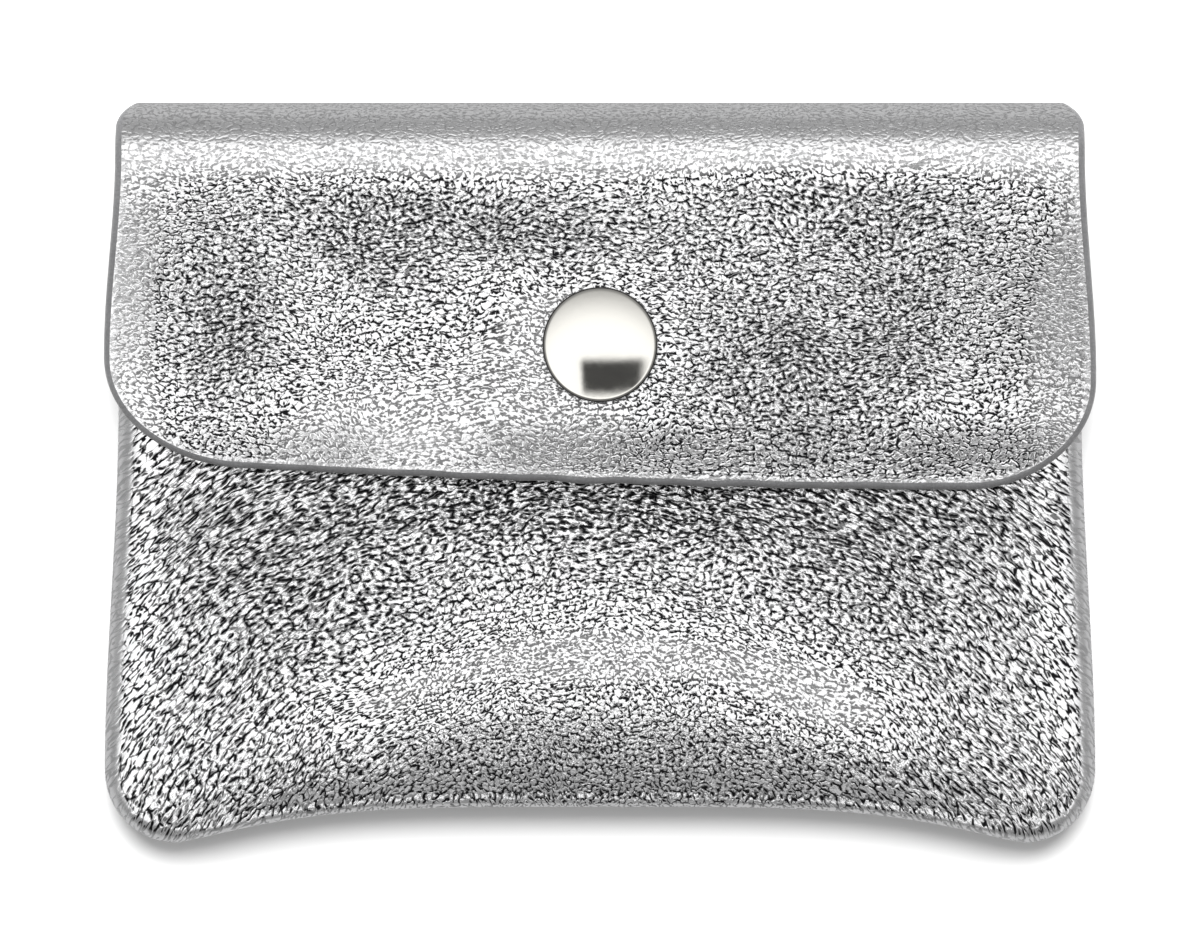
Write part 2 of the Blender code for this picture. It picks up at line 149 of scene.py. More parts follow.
# %% [markdown]
# ## Nodes and colours
#
# Materials and the grain modifier are both node trees. One function adds a node, sets its properties and
# fills its sockets, with plain values or with what other nodes give. Colours are written as sRGB hex
# values, as on a paint card, and turned to the linear values that Blender's shaders work in.

# %% Add nodes and colours
def fill_sockets(tree, node, inputs):
    """Fills sockets, given in their order or by name or number. A node stands for its first open output."""
    for socket, value in inputs.items() if isinstance(inputs, dict) else enumerate(inputs):
        if isinstance(value, bpy.types.Node):
            value = next(output for output in value.outputs if output.enabled)
        if isinstance(value, bpy.types.NodeSocket):
            tree.links.new(value, node.inputs[socket])
        else:
            node.inputs[socket].default_value = value


def add_node(tree, kind, inputs=(), **settings):
    node = tree.nodes.new(kind)
    for name, value in settings.items():
        setattr(node, name, value)
    fill_sockets(tree, node, inputs)
    return node


def linear(hex_colour):
    """An sRGB hex colour such as "#c0c0c4" as a linear RGBA value."""
    channels = [int(hex_colour[k : k + 2], 16) / 255 for k in (1, 3, 5)]
    return [c / 12.92 if c <= 0.04045 else ((c + 0.055) / 1.055) ** 2.4 for c in channels] + [1.0]


def new_material(name):
    material = bpy.data.materials.new(name)
    material.use_nodes = True
    tree = material.node_tree
    return material, tree, tree.nodes["Principled BSDF"]


print("middle grey, linear:", round(linear("#808080")[0], 3))

# %% [markdown]
# ## The grain
#
# Foil leather is split hide with a film of silver foil pressed on it. When the skin is milled, the film
# breaks along the skin's own creases: a net of thin dark lines round cells under a millimetre wide, with
# tiny pits where the pores were. Where the leather is slack it also puckers into ridges.
#
# A net like this could be sculpted or painted, but nodes draw it at any size and keep it sharp. The same
# nodes draw it twice, once to raise the real ridges of the mesh and once to paint and bump the foil, so
# the painted creases run along the modelled ones. The net is laid on the flat blank, before it is turned
# and draped, so it follows the leather round every roll and fold. Each point's place in the net is its
# attribute `grain_mm`, in millimetres, with the cells' long side along X.

# %% Nodes that bend a pattern and fit it to its size
drift_size, drift_reach = 13.0, 4.5  # mm, over which the net bends and how far
shake_size, shake_reach = 0.8, 0.5  # mm, the same for the wobble of single creases


def push_place(tree, place, onto, size, reach, detail):
    """Adds soft noise, read at place, to the places onto. Gives the pushed places and the noise itself."""
    noise = add_node(tree, "ShaderNodeTexNoise", {"Vector": place, "Scale": 1 / size, "Detail": detail},
                     noise_dimensions="2D")
    push = add_node(tree, "ShaderNodeVectorMath", (noise.outputs["Color"], (-0.5, -0.5, -0.5)))
    pushed = add_node(tree, "ShaderNodeVectorMath", (push, (reach, reach, 0), onto), operation="MULTIPLY_ADD")
    return pushed, noise.outputs["Fac"]


def fit_pattern(tree, place, length, width):
    return add_node(tree, "ShaderNodeVectorMath", (place, (1 / length, 1 / width, 0)), operation="MULTIPLY")


print("the net drifts", drift_reach / 2, "mm each way over", drift_size, "mm")

# %% Nodes that draw the crease net
cell_length, cell_width = 0.92, 0.56  # mm
ridge_length, ridge_width = 1.4, 0.65  # mm


def draw_creases(tree, laid):
    """How far each point is from its nearest crease, in mm, and how much that crease runs along X."""
    nearest, second = (add_node(tree, "ShaderNodeTexVoronoi", {"Vector": laid, "Scale": 1.0},
                                voronoi_dimensions="2D", feature=feature).outputs["Position"]
                       for feature in ("F1", "F2"))
    step = add_node(tree, "ShaderNodeVectorMath", (second, nearest), operation="SUBTRACT")
    middle = add_node(tree, "ShaderNodeVectorMath", (step, (0.5, 0.5, 0.5), nearest),
                      operation="MULTIPLY_ADD")
    away = add_node(tree, "ShaderNodeVectorMath", (middle, laid), operation="SUBTRACT")
    square = add_node(tree, "ShaderNodeVectorMath", (step,), operation="NORMALIZE")
    share = add_node(tree, "ShaderNodeVectorMath", (away, square), operation="DOT_PRODUCT").outputs["Value"]
    lie = add_node(tree, "ShaderNodeSeparateXYZ", (square,)).outputs["Y"]
    lie = add_node(tree, "ShaderNodeMath", (lie,), operation="ABSOLUTE")
    pitch = add_node(tree, "ShaderNodeMapRange", (lie, 0.0, 1.0, cell_length, cell_width))
    return add_node(tree, "ShaderNodeMath", (share, pitch), operation="MULTIPLY"), lie


def draw_net(tree, place):
    """The net in a shader or geometry tree: shaken places, creases and their lie, ridges and ripple."""
    bent = push_place(tree, place, place, drift_size, drift_reach, 1.0)[0]
    shaken, ripple = push_place(tree, place, bent, shake_size, shake_reach, 2.0)
    crease, lie = draw_creases(tree, fit_pattern(tree, shaken, cell_length, cell_width))
    laid = fit_pattern(tree, bent, ridge_length, ridge_width)
    ridges = add_node(tree, "ShaderNodeTexNoise", {"Vector": laid, "Scale": 1.0, "Detail": 2.0},
                      noise_dimensions="2D")
    ridges = add_node(tree, "ShaderNodeMath", (ridges.outputs["Fac"], -0.5))
    ridges = add_node(tree, "ShaderNodeMath", (ridges,), operation="ABSOLUTE")
    return shaken, crease, lie, ridges, ripple


print("cells of", cell_length, "by", cell_width, "mm")

# %% [markdown]
# ## Foil leather material
#
# The foil is a vacuum-metallised film: aluminium under a thin clear coat, so it is a metal with a soft
# gloss. In the creases the film has split and shows the grey base coat, matt and dark; the crease colour
# is painted nearly black, so it is also a painted shade of the narrow valleys, and the pits are painted
# dark the same way. Each crease is open here and closed there along its run. Where the leather is drawn
# tight the creases are faint and shallow; where it is slack they are dark and the cells between them
# swell. The `slack` attribute of each point says which. A flat grey with a noise bump would be quicker,
# but it has no creases to catch dark.

# %% Mark the creases and the pits
hairline, gape = 0.09, 0.11  # mm, a crease's width to one side, in tight leather and in slack leather
least_width = 0.02  # mm, the same where a crease is closed
crease_run = 0.6  # mm, over which a crease is open or closed
closed_share, open_share = 0.05, 1.55  # of its width, where it is closed and where it is open
upright_share = 0.65  # width of the creases that run up the wallet, where those that run across have 1
core_share = 0.55  # the part of a crease that is darkest
pore_length, pore_width = 0.6, 0.44  # mm, from pore to pore
pit_share, pit_floor_share = 0.28, 0.6  # a pit's radius, of the pore spacing, and its floor's, of that


def mark_creases(tree, place, slack, taut, crease, lie):
    """How dark each crease is, from 0 to 1, and how far it is open."""
    run = add_node(tree, "ShaderNodeTexNoise", {"Vector": place, "Scale": 1 / crease_run, "Detail": 1.0},
                   noise_dimensions="2D").outputs["Fac"]
    run = add_node(tree, "ShaderNodeMapRange", (run, 0.35, 0.65, closed_share, open_share))
    pull = add_node(tree, "ShaderNodeMapRange", (lie, 0.2, 1.0, upright_share, 1.0))
    gap = add_node(tree, "ShaderNodeMath", (run, pull), operation="MULTIPLY")
    width = add_node(tree, "ShaderNodeMapRange", (slack, 0.0, 1.0, hairline, gape))
    width = add_node(tree, "ShaderNodeMath", (width, gap), operation="MULTIPLY")
    width = add_node(tree, "ShaderNodeMath", (width, least_width))
    core = add_node(tree, "ShaderNodeMath", (width, core_share), operation="MULTIPLY")
    line = add_node(tree, "ShaderNodeMapRange", (crease, core, width, 1.0, 0.0),
                    interpolation_type="SMOOTHSTEP")
    # painted shade: open creases are painted darker, for the split film and for the shade in their valleys
    dark = add_node(tree, "ShaderNodeMapRange", (gap, 0.1, 0.8, 0.5, 1.0))
    dark = add_node(tree, "ShaderNodeMath", (dark, taut), operation="MULTIPLY")
    return add_node(tree, "ShaderNodeMath", (line, dark), operation="MULTIPLY"), gap


def mark_pits(tree, shaken, slack, taut):
    """Round pits at two pores out of three, fainter where the leather is slack."""
    pores = add_node(tree, "ShaderNodeTexVoronoi",
                     {"Vector": fit_pattern(tree, shaken, pore_length, pore_width), "Scale": 1.0},
                     voronoi_dimensions="2D", feature="F1")
    floor = pit_share * pit_floor_share
    # painted shade: the pits' dark colour stands in for the shade inside them
    pit = add_node(tree, "ShaderNodeMapRange", (pores, floor, pit_share, 1.0, 0.0),
                   interpolation_type="SMOOTHSTEP")
    chosen = add_node(tree, "ShaderNodeSeparateColor", (pores.outputs["Color"],))
    chosen = add_node(tree, "ShaderNodeMapRange", (chosen, 0.25, 0.35))
    pit = add_node(tree, "ShaderNodeMath", (pit, chosen), operation="MULTIPLY")
    shut = add_node(tree, "ShaderNodeMapRange", (slack, 0.3, 1.0, 1.0, 0.5))
    shut = add_node(tree, "ShaderNodeMath", (shut, taut), operation="MULTIPLY")
    return add_node(tree, "ShaderNodeMath", (pit, shut), operation="MULTIPLY")


print("pits", round(2 * pit_share * pore_width, 2), "mm wide")

# %% Raise the cells
cell_edge = 0.25  # mm, over which a cell falls to its crease
cell_rise = (0.03, 0.24)  # mm, of a cell over its crease, in tight leather and in slack leather
ridge_rise = (0.02, 0.2)  # mm, of the ridges, the same way
ripple_rise = (0.02, 0.16)  # mm, of the ripple on each cell, the same way
pit_depth = 0.05  # mm


def raise_cells(tree, slack, crease, gap, ridges, ripple, pit):
    """The height of the grain, in mm."""
    cell = add_node(tree, "ShaderNodeMapRange", (crease, 0.0, cell_edge, -1.0, 0.0),
                    interpolation_type="SMOOTHSTEP")
    depth = add_node(tree, "ShaderNodeMapRange", (slack, 0.35, 1.0, *cell_rise))
    depth = add_node(tree, "ShaderNodeMath", (depth, gap), operation="MULTIPLY")
    height = add_node(tree, "ShaderNodeMath", (cell, depth), operation="MULTIPLY")
    for pattern, rise in ((ridges, ridge_rise), (ripple, ripple_rise)):
        rise = add_node(tree, "ShaderNodeMapRange", (slack, 0.3, 1.0, *rise))
        height = add_node(tree, "ShaderNodeMath", (pattern, rise, height), operation="MULTIPLY_ADD")
    return add_node(tree, "ShaderNodeMath", (pit, -pit_depth, height), operation="MULTIPLY_ADD")


print("cells stand", cell_rise, "mm high")

# %% Make the silver foil
def make_foil(name):
    """Bright metal cells that mirror the light softly, in a net of matt, nearly black creases, whose colour
    is partly the split film and partly painted shade.
    """
    material, tree, shader = new_material(name)
    place = add_node(tree, "ShaderNodeAttribute", attribute_name="grain_mm").outputs["Vector"]
    slack = add_node(tree, "ShaderNodeAttribute", attribute_name="slack").outputs["Fac"]
    taut = add_node(tree, "ShaderNodeMapRange", (slack, 0.0, 0.25, 0.2, 1.0))
    shaken, crease, lie, ridges, ripple = draw_net(tree, place)
    line, gap = mark_creases(tree, place, slack, taut, crease, lie)
    pit = mark_pits(tree, shaken, slack, taut)
    crease_marks_and_shade = add_node(tree, "ShaderNodeMath", (line, pit), operation="MAXIMUM")
    height = raise_cells(tree, slack, crease, gap, ridges, ripple, pit)
    fill_sockets(tree, shader, {
        # creases and pits are painted near black: the split film, and partly painted shade
        "Base Color": add_node(tree, "ShaderNodeMix", {0: crease_marks_and_shade, 6: linear("#f0f0f1"), 7: linear("#08080a")},
                               data_type="RGBA"),
        "Metallic": add_node(tree, "ShaderNodeMapRange", (crease_marks_and_shade, 0.7, 1.0, 1.0, 0.3)),
        "Roughness": add_node(tree, "ShaderNodeMapRange", (crease_marks_and_shade, 0.0, 1.0, 0.24, 0.6)),
        "Normal": add_node(tree, "ShaderNodeBump", {"Distance": mm, "Height": height}),
        "Specular IOR Level": 0.15,
    })
    return material


foil = make_foil("silver_foil_pressed_on_milled_leather")
print(foil.name, len(foil.node_tree.nodes), "nodes")

# %% [markdown]
# ## Suede and cut edge
#
# The inside of split leather is suede: cut fibres that stand up as a short nap, matt, and lighter or
# darker in clouds where the nap lies one way or the other. The cut edges are the same fibres pressed down
# and inked grey. Both are one recipe: fine noise for the fibres and broad noise for the clouds. A hair
# system would draw each fibre, but none of them is as wide as a pixel here.

# %% Make the suede and the cut edge
cloud_size_share = 12  # a cloud is this many fibres wide
cloud_range = (0.35, 0.65)
nap_share = 0.7


def make_fibres(name, fibre_mm, bump_mm, dark, light):
    """A dull, dry surface without highlights, with a faint sheen where the fibres catch the light."""
    material, tree, shader = new_material(name)
    place = add_node(tree, "ShaderNodeAttribute", attribute_name="grain_mm").outputs["Vector"]
    nap = add_node(tree, "ShaderNodeTexNoise", {"Vector": place, "Scale": 1 / fibre_mm, "Detail": 6.0,
                                                "Roughness": 0.75})
    cloud = add_node(tree, "ShaderNodeTexNoise", {"Vector": place, "Scale": 1 / (cloud_size_share * fibre_mm),
                                                  "Detail": 3.0})
    cloud = add_node(tree, "ShaderNodeMapRange", (cloud, 0.0, 1.0, *cloud_range))
    mixed = add_node(tree, "ShaderNodeMath", (nap, nap_share, cloud), operation="MULTIPLY_ADD")
    mixed = add_node(tree, "ShaderNodeMapRange", (mixed, 0.6, 1.1))
    height = add_node(tree, "ShaderNodeMath", (nap, bump_mm), operation="MULTIPLY")
    fill_sockets(tree, shader, {
        "Base Color": add_node(tree, "ShaderNodeMix", {0: mixed, 6: linear(dark), 7: linear(light)},
                               data_type="RGBA"),
        "Normal": add_node(tree, "ShaderNodeBump", {"Distance": mm, "Height": height}),
        "Roughness": 0.92,
        "Sheen Weight": 0.3,
    })
    return material


suede = make_fibres("grey_split_suede", 0.7, 0.2, "#4f4d49", "#86837d")
cut_edge = make_fibres("cut_leather_edge", 0.3, 0.08, "#29292a", "#5c5c5d")
print("fibre materials:", suede.name, cut_edge.name)

# %% [markdown]
# ## Cutting a blank
#
# A leather piece starts as a grid, because a grid has even cells for the grain to rise in. Its points are
# moved to the pattern's outline, with the rows spread between its four edges. Hems and cut edges are then
# extruded from its border ring by ring, each ring as wide as the turn needs, and the blank gets its
# thickness while it is still flat, where a wall can't go wrong. A subdivided box would be less work, but
# its rows would bunch up at the round corners and tear the grain there.

# %% Lay rows of points between four edges
grain_step = 0.46 * mm  # between the points of a blank


def spread(line, count):
    """count + 1 points, evenly spaced along a line of points."""
    steps = np.linalg.norm(np.diff(line, axis=0), axis=1)
    length = np.concatenate([[0], np.cumsum(steps)])
    at = np.linspace(0, length[-1], count + 1)
    return np.stack([np.interp(at, length, line[:, k]) for k in range(line.shape[1])], 1)


def outward_normals(line):
    """The right-hand normals along a line of points."""
    along = np.gradient(line, axis=0)
    normals = np.stack([along[:, 1], -along[:, 0]], 1)
    return normals / np.linalg.norm(normals, axis=1)[:, None]


def rows_between(bottom, top, left, right):
    """Rows of points between four edges. Bottom and top run left to right, left and right run upward."""
    u = np.linspace(0, 1, len(bottom))[None, :, None]
    v = np.linspace(0, 1, len(left))[:, None, None]
    ruled = (1 - v) * bottom[None] + v * top[None] + (1 - u) * left[:, None] + u * right[:, None]
    corners = (1 - v) * ((1 - u) * bottom[0] + u * bottom[-1]) + v * ((1 - u) * top[0] + u * top[-1])
    return ruled - corners


def cut_blank(name, field):
    """A grid whose points are moved to the rows of field, and the number of the point at each row's place."""
    rows, columns = field.shape[0] - 1, field.shape[1] - 1
    bpy.ops.object.select_all(action="DESELECT")
    bpy.ops.mesh.primitive_grid_add(x_subdivisions=columns, y_subdivisions=rows, size=2)
    blank = bpy.context.object
    blank.name = blank.data.name = name
    at = (read_points(blank)[:, :2] + 1) / 2
    i = np.rint(at[:, 0] * columns).astype(int)
    j = np.rint(at[:, 1] * rows).astype(int)
    order = np.empty((rows + 1, columns + 1), int)
    order[j, i] = np.arange(len(i))
    write_points(blank, np.column_stack([field[j, i], np.zeros(len(i))]))
    return blank, order


print("points every", round(grain_step / mm, 2), "mm")

# %% Extrude hems and cut edges from a border
turn_inside = 0.5 * mm  # inner radius of a turned edge
turn_outside = turn_inside + leather
turn_length = math.pi * (turn_inside + leather / 2)
allowance = 4.0 * mm  # leather that lies inside, past the turn
edge_round = 0.75 * mm
turn_rings, allowance_rings, round_rings = 10, 4, 5
turn_steps = [turn_length / turn_rings] * turn_rings + [allowance / allowance_rings] * allowance_rings
ring_angles = np.radians(np.linspace(0, 90, round_rings + 1))
round_steps = list(edge_round * np.diff(np.sin(ring_angles)))


def pick_edges(blank, line):
    """Selects the edges that join the points of line one after the other."""
    rank = np.full(len(blank.data.vertices), -10)
    rank[line] = np.arange(len(line))
    edges = np.empty(len(blank.data.edges) * 2, int)
    blank.data.edges.foreach_get("vertices", edges)
    ends = rank[edges.reshape(-1, 2)]
    chosen = (ends.min(1) >= 0) & (abs(ends[:, 0] - ends[:, 1]) == 1)
    blank.data.polygons.foreach_set("select", np.zeros(len(blank.data.polygons), bool))
    blank.data.vertices.foreach_set("select", rank >= 0)
    blank.data.edges.foreach_set("select", chosen)
    bpy.context.tool_settings.mesh_select_mode = (False, True, False)
    make_active(blank)


def extrude_border(blank, line, outward, steps, kind):
    """Extrudes the edges along line, ring by ring, and notes in the attribute kind how far each ring lies."""
    directions = read_attribute(blank, "outward", 3)
    directions[line] = np.column_stack([outward, np.zeros(len(line))])
    write_attribute(blank, "outward", directions)
    write_attribute(blank, kind, read_attribute(blank, kind, 1))
    pick_edges(blank, line)
    for step in steps:
        bpy.ops.object.mode_set(mode="EDIT")
        bpy.ops.mesh.extrude_edges_indiv()
        bpy.ops.object.mode_set(mode="OBJECT")
        picked = np.zeros(len(blank.data.vertices), bool)
        blank.data.vertices.foreach_get("select", picked)
        write_points(blank, read_points(blank) + read_attribute(blank, "outward", 3) * step * picked[:, None])
        write_attribute(blank, kind, read_attribute(blank, kind, 1) + step * picked)


def extrude_cut(blank, line, outward):
    """Extrudes a straight cut edge, all of it in one direction."""
    extrude_border(blank, line, np.tile(outward, (len(line), 1)), round_steps, "raw")


def extrude_cut_sides(blank, rows):
    for side, column in ((1, -1), (-1, 0)):
        extrude_cut(blank, rows[::side, column], (side, 0.0))


print("a turn takes", round(turn_length / mm, 2), "mm of leather")

# %% Give the blank its thickness
cell_stretch = (1.09, 0.96, 1.0)  # drawn out across the wallet, as the hide was
ink_start = 0.1 * mm  # the ink starts this far into the rounding of a cut edge


def ink_cut_edges(blank, raw):
    corners = np.empty(len(blank.data.loops), int)
    blank.data.loops.foreach_get("vertex_index", corners)
    kinds = np.empty(len(blank.data.polygons), int)
    blank.data.polygons.foreach_get("material_index", kinds)
    kinds[raw[corners.reshape(-1, 4)].max(1) > ink_start] = 2
    blank.data.polygons.foreach_set("material_index", kinds)


def give_thickness(blank):
    """Makes the flat blank a slab, grain side up. Gives each point's place on the blank, its depth below the
    grain side, and how far it lies into a turned edge and into the rounding of a cut edge."""
    for material in (foil, suede, cut_edge):
        blank.data.materials.append(material)
    wall = blank.modifiers.new("thickness", "SOLIDIFY")
    wall.thickness = leather
    wall.offset = -1
    wall.material_offset = 1
    wall.material_offset_rim = 2
    apply_modifiers(blank)
    points = read_points(blank)
    write_attribute(blank, "grain_mm", points / mm / cell_stretch)
    turned, raw = (read_attribute(blank, kind, 1) for kind in ("turned", "raw"))
    ink_cut_edges(blank, raw)
    return points[:, :2], -points[:, 2], turned, raw


def edge_drop(raw, depth):
    """How far the grain side falls where a cut edge is rounded."""
    drop = edge_round - np.sqrt(np.clip(edge_round**2 - raw**2, 0, None))
    return np.where(depth < leather / 2, drop, 0)


print("walls are", round(leather / mm, 2), "mm thick")

# %% [markdown]
# ## Raising the pebbles
#
# Milled leather is never smooth: each cell of the grain is a small cushion and each crease a valley. A
# geometry modifier reads the same net that the foil is painted with and sinks the creases below the
# surface, by as much as the leather is slack there. A bump alone would look the same from the front, but
# its outline would be smooth, so the modifier is applied and the coarse part of the relief is real mesh.

# %% Raise the pebbles of the grain side
mesh_ridge_rise = 0.2  # mm, from a valley of the ridge pattern to the level where it has a share of 1
mesh_pebble_rise = 0.03  # mm
mesh_sink = 0.1  # mm, by which a point with neither ridge nor pebble sinks
smooth_angle = math.radians(65)


def make_ridge_nodes():
    tree = bpy.data.node_groups.new("raise_ridges", "GeometryNodeTree")
    for way in ("INPUT", "OUTPUT"):
        tree.interface.new_socket("Leather", in_out=way, socket_type="NodeSocketGeometry")
    given = add_node(tree, "NodeGroupInput")
    place = add_node(tree, "GeometryNodeInputNamedAttribute", {"Name": "grain_mm"}, data_type="FLOAT_VECTOR")
    relief = add_node(tree, "GeometryNodeInputNamedAttribute", {"Name": "relief"}, data_type="FLOAT")
    _, crease, _, ridges, _ = draw_net(tree, place.outputs[0])
    pebble = add_node(tree, "ShaderNodeMapRange", (crease, 0.0, cell_edge, 0.0, mesh_pebble_rise))
    height = add_node(tree, "ShaderNodeMath", (ridges, mesh_ridge_rise, pebble), operation="MULTIPLY_ADD")
    height = add_node(tree, "ShaderNodeMath", (height, -mesh_sink))
    height = add_node(tree, "ShaderNodeMath", (height, relief), operation="MULTIPLY")
    height = add_node(tree, "ShaderNodeMath", (height, mm), operation="MULTIPLY")
    normal = add_node(tree, "GeometryNodeInputNormal")
    offset = add_node(tree, "ShaderNodeVectorMath", {0: normal, "Scale": height}, operation="SCALE")
    moved = add_node(tree, "GeometryNodeSetPosition", {"Geometry": given, "Offset": offset})
    add_node(tree, "NodeGroupOutput", {0: moved})
    return tree


def raise_grain(blank, depth, slack, kept_share):
    """Notes how slack each point is and how much of its relief it keeps, and raises the grain side."""
    write_attribute(blank, "relief", slack * kept_share * (depth < leather / 2))
    write_attribute(blank, "slack", slack)
    before = read_points(blank)
    make_active(blank)
    blank.data.shade_smooth()
    grain = blank.modifiers.new("grain", "NODES")
    grain.node_group = ridge_nodes
    apply_modifiers(blank)
    bpy.ops.object.shade_smooth_by_angle(angle=smooth_angle)
    sunk = np.abs(read_points(blank) - before).max() / mm
    print(f"{blank.name}: {len(blank.data.polygons)} faces, creases sunk up to {sunk:.3f} mm")


ridge_nodes = make_ridge_nodes()
print("ridge nodes:", len(ridge_nodes.nodes))

# %% [markdown]
# ## How slack the leather is
#
# The photographed wallet is tight over its bulge and its fold and slack above the bulge, in the corners
# and along the bottom seam. Two bands just below the flap's lip add slack so that the creases there come
# out darker and deeper, a painted shadow of the lip. A painted mask could hold all that, but a short list
# of soft round patches says it in words and can be corrected one by one: where each lies, how far it
# reaches, its turn, and the slack that it adds.

# %% Add up soft patches
def sum_patches(x, y, patches):
    """The sum of soft patches, each as (x, y, reach along, reach across, turn, slack), in mm and degrees."""
    total = np.zeros_like(x)
    for at_x, at_y, reach_x, reach_y, turn, added in patches:
        c, s = math.cos(math.radians(turn)), math.sin(math.radians(turn))
        along = ((x / mm - at_x) * c + (y / mm - at_y) * s) / reach_x
        across = ((y / mm - at_y) * c - (x / mm - at_x) * s) / reach_y
        total += added * np.exp(-along * along - across * across)
    return total


print("a patch of 1, one reach from its middle:",
      round(float(sum_patches(np.array([mm]), np.zeros(1), [(0, 0, 1, 1, 0, 1)])[0]), 3))

# %% [markdown]
# ## The pouch's outline
#
# The pouch has nearly straight sides that draw in a little towards its mouth, round bottom corners, and a
# bottom edge that arches up between them, because the seam there is gathered when the pouch is turned.
# Half the outline is drawn with formulas, because each of its sizes can then be set by itself, and the
# other half mirrors it.

# %% Draw the pouch's outline
mouth_y = roll_y - 3.5 * mm  # the pouch's mouth lies this far below the roll of the fold
side_draw_in, side_draw_length = 1.5 * mm, 40 * mm
corner_width, corner_height = 7.8 * mm, 8.0 * mm
bottom_arch = 3.95 * mm
arch_flat_power, arch_end_power = 4, 1.3
bottom_count, corner_count, side_count = 300, 60, 200
mirror_x = np.array([-1, 1])


def draw_pouch_outline():
    """The right half of the outline, from the middle of the bottom to the mouth."""
    foot_x = half_width - corner_width
    shoulder_y = bottom_y + corner_height
    share = np.linspace(0, 1, bottom_count, endpoint=False)
    arch = (1 - share**arch_flat_power) ** arch_end_power
    bottom = np.stack([foot_x * share, bottom_y + bottom_arch * arch], 1)
    angle = np.radians(np.linspace(-90, 0, corner_count, endpoint=False))
    corner = np.stack([foot_x + corner_width * np.cos(angle), shoulder_y + corner_height * np.sin(angle)], 1)
    y = np.linspace(shoulder_y, mouth_y, side_count)
    side = np.stack([half_width - side_draw_in * ease((y - shoulder_y) / side_draw_length), y], 1)
    return np.concatenate([bottom, corner, side])


def both_halves(half):
    return np.concatenate([(half * mirror_x)[:0:-1], half])


half_outline = draw_pouch_outline()
half_normals = outward_normals(half_outline)
half_border = half_outline - half_normals * turn_outside
half_border[0, 0] = 0
seam_outline = both_halves(half_outline)
print("pouch outline:", len(seam_outline), "points")

# %% Lay the pouch's rows and turn its border
def lay_pouch_field():
    """Rows of points inside the turned edges, from the bottom seam to the mouth."""
    columns = 2 * round(half_width / grain_step)
    rows = round((mouth_y - bottom_y) / grain_step)
    corner = bottom_count + corner_count // 2
    bottom = spread(both_halves(half_border[: corner + 1]), columns)
    right = spread(half_border[corner:], rows)
    left = right * mirror_x
    top = spread(np.array([left[-1], right[-1]]), columns)
    return rows_between(bottom, top, left, right)


pouch_field = lay_pouch_field()
mouth_row, last_column = pouch_field.shape[0] - 1, pouch_field.shape[1] - 1


def seam_border(blank, order):
    """The border from the mouth's left end, down, along the bottom and up again, and its way out."""
    line = np.concatenate([order[mouth_row:0:-1, 0], order[0, :-1], order[: mouth_row + 1, -1]])
    normals = outward_normals(read_points(blank)[line, :2])
    normals[0], normals[-1] = (-1, 0), (1, 0)
    return line, normals


def roll_under(base, outward, turned, depth, centre_z, side):
    """The turned edge: half a circle out and round, then the allowance straight back in."""
    turn = np.minimum(turned / turn_length, 1) * math.pi
    radius = turn_outside - depth
    reach = radius * np.sin(turn) - np.maximum(turned - turn_length, 0)
    return np.column_stack([base + outward * reach[:, None], centre_z + side * radius * np.cos(turn)])


print("pouch field:", pouch_field.shape[:2], "points")

# %% Press the turned edges smooth
seam_relief_share = 0.3  # of the relief that a turned edge keeps
shown_turn_share = 0.8  # of the turn that is seen and so has any relief


def press_smooth(blank, points, share):
    """Notes where the leather is pressed smooth. Rings extruded later take over the note."""
    pressed = np.zeros(len(blank.data.vertices))
    pressed[np.ravel(points)] = share
    write_attribute(blank, "pressed", pressed)


def seam_relief(turned):
    return np.where(turned > 0, seam_relief_share, 1.0) * (turned < turn_length * shown_turn_share)


print("relief shows on", round(turn_length * shown_turn_share / mm, 2), "mm of each turned edge")

# %% [markdown]
# ## The front panel
#
# The front panel is the full side of the pouch: flat and high round the stud, a low crest below it, and a
# steep fall to the bottom seam. Its border turns down and under in a half circle and ends in the seam
# allowance, which lies inside the pouch. The panel's mouth edge is cut and rounded.
#
# A cloth simulation could find this shape, but it would give another one at each try and would blur the
# tight turn at the seam. The shape is a height over each place, so it is written as one, and the leather is
# laid on it square to the surface, so that it keeps its thickness on the steep sides too.

# %% The height of the front panel
pouch_rise = 3.9 * mm  # of the crest over the turned edge
flat_margin = 1.25 * mm  # flat leather past the cap
cap_flat = cap_high.x + flat_margin
crest_y = stud_y - 31 * mm
crest_sag, crest_sag_reach = 10 * mm, 34 * mm  # the crest runs lower towards the sides
stud_level_share, mouth_level_share = 0.68, 0.50  # of the rise
full_side_share = 0.35  # of the half width over which the pouch is full
foot_power = 5.5  # how late and steeply the fall to the seam comes
foot_line = half_border[: bottom_count + corner_count]
front_turn_z = front_base_z + turn_outside
front_edge_z = front_turn_z + turn_outside
slope_step = 0.2 * mm  # to each side of a point, over which its slope is measured


def front_height(x, y):
    foot_y = np.interp(np.abs(x), foot_line[:, 0], foot_line[:, 1])
    side = 1 - ease((np.abs(x) / foot_line[-1, 0] - full_side_share) / (1 - full_side_share))
    crest = crest_y - crest_sag * ease(np.abs(x) / crest_sag_reach)
    fall = np.clip((crest - y) / (crest - foot_y), 0, 1)
    low = 1 - fall**foot_power
    middle = 1 + (stud_level_share - 1) * ease((y - crest) / (stud_y - cap_flat - crest))
    drop = stud_level_share - mouth_level_share
    high = stud_level_share - drop * ease((y - stud_y - cap_flat) / (mouth_y - stud_y - cap_flat))
    level = np.where(y < crest, low, np.where(y < stud_y - cap_flat, middle, high))
    return front_edge_z + pouch_rise * side * level


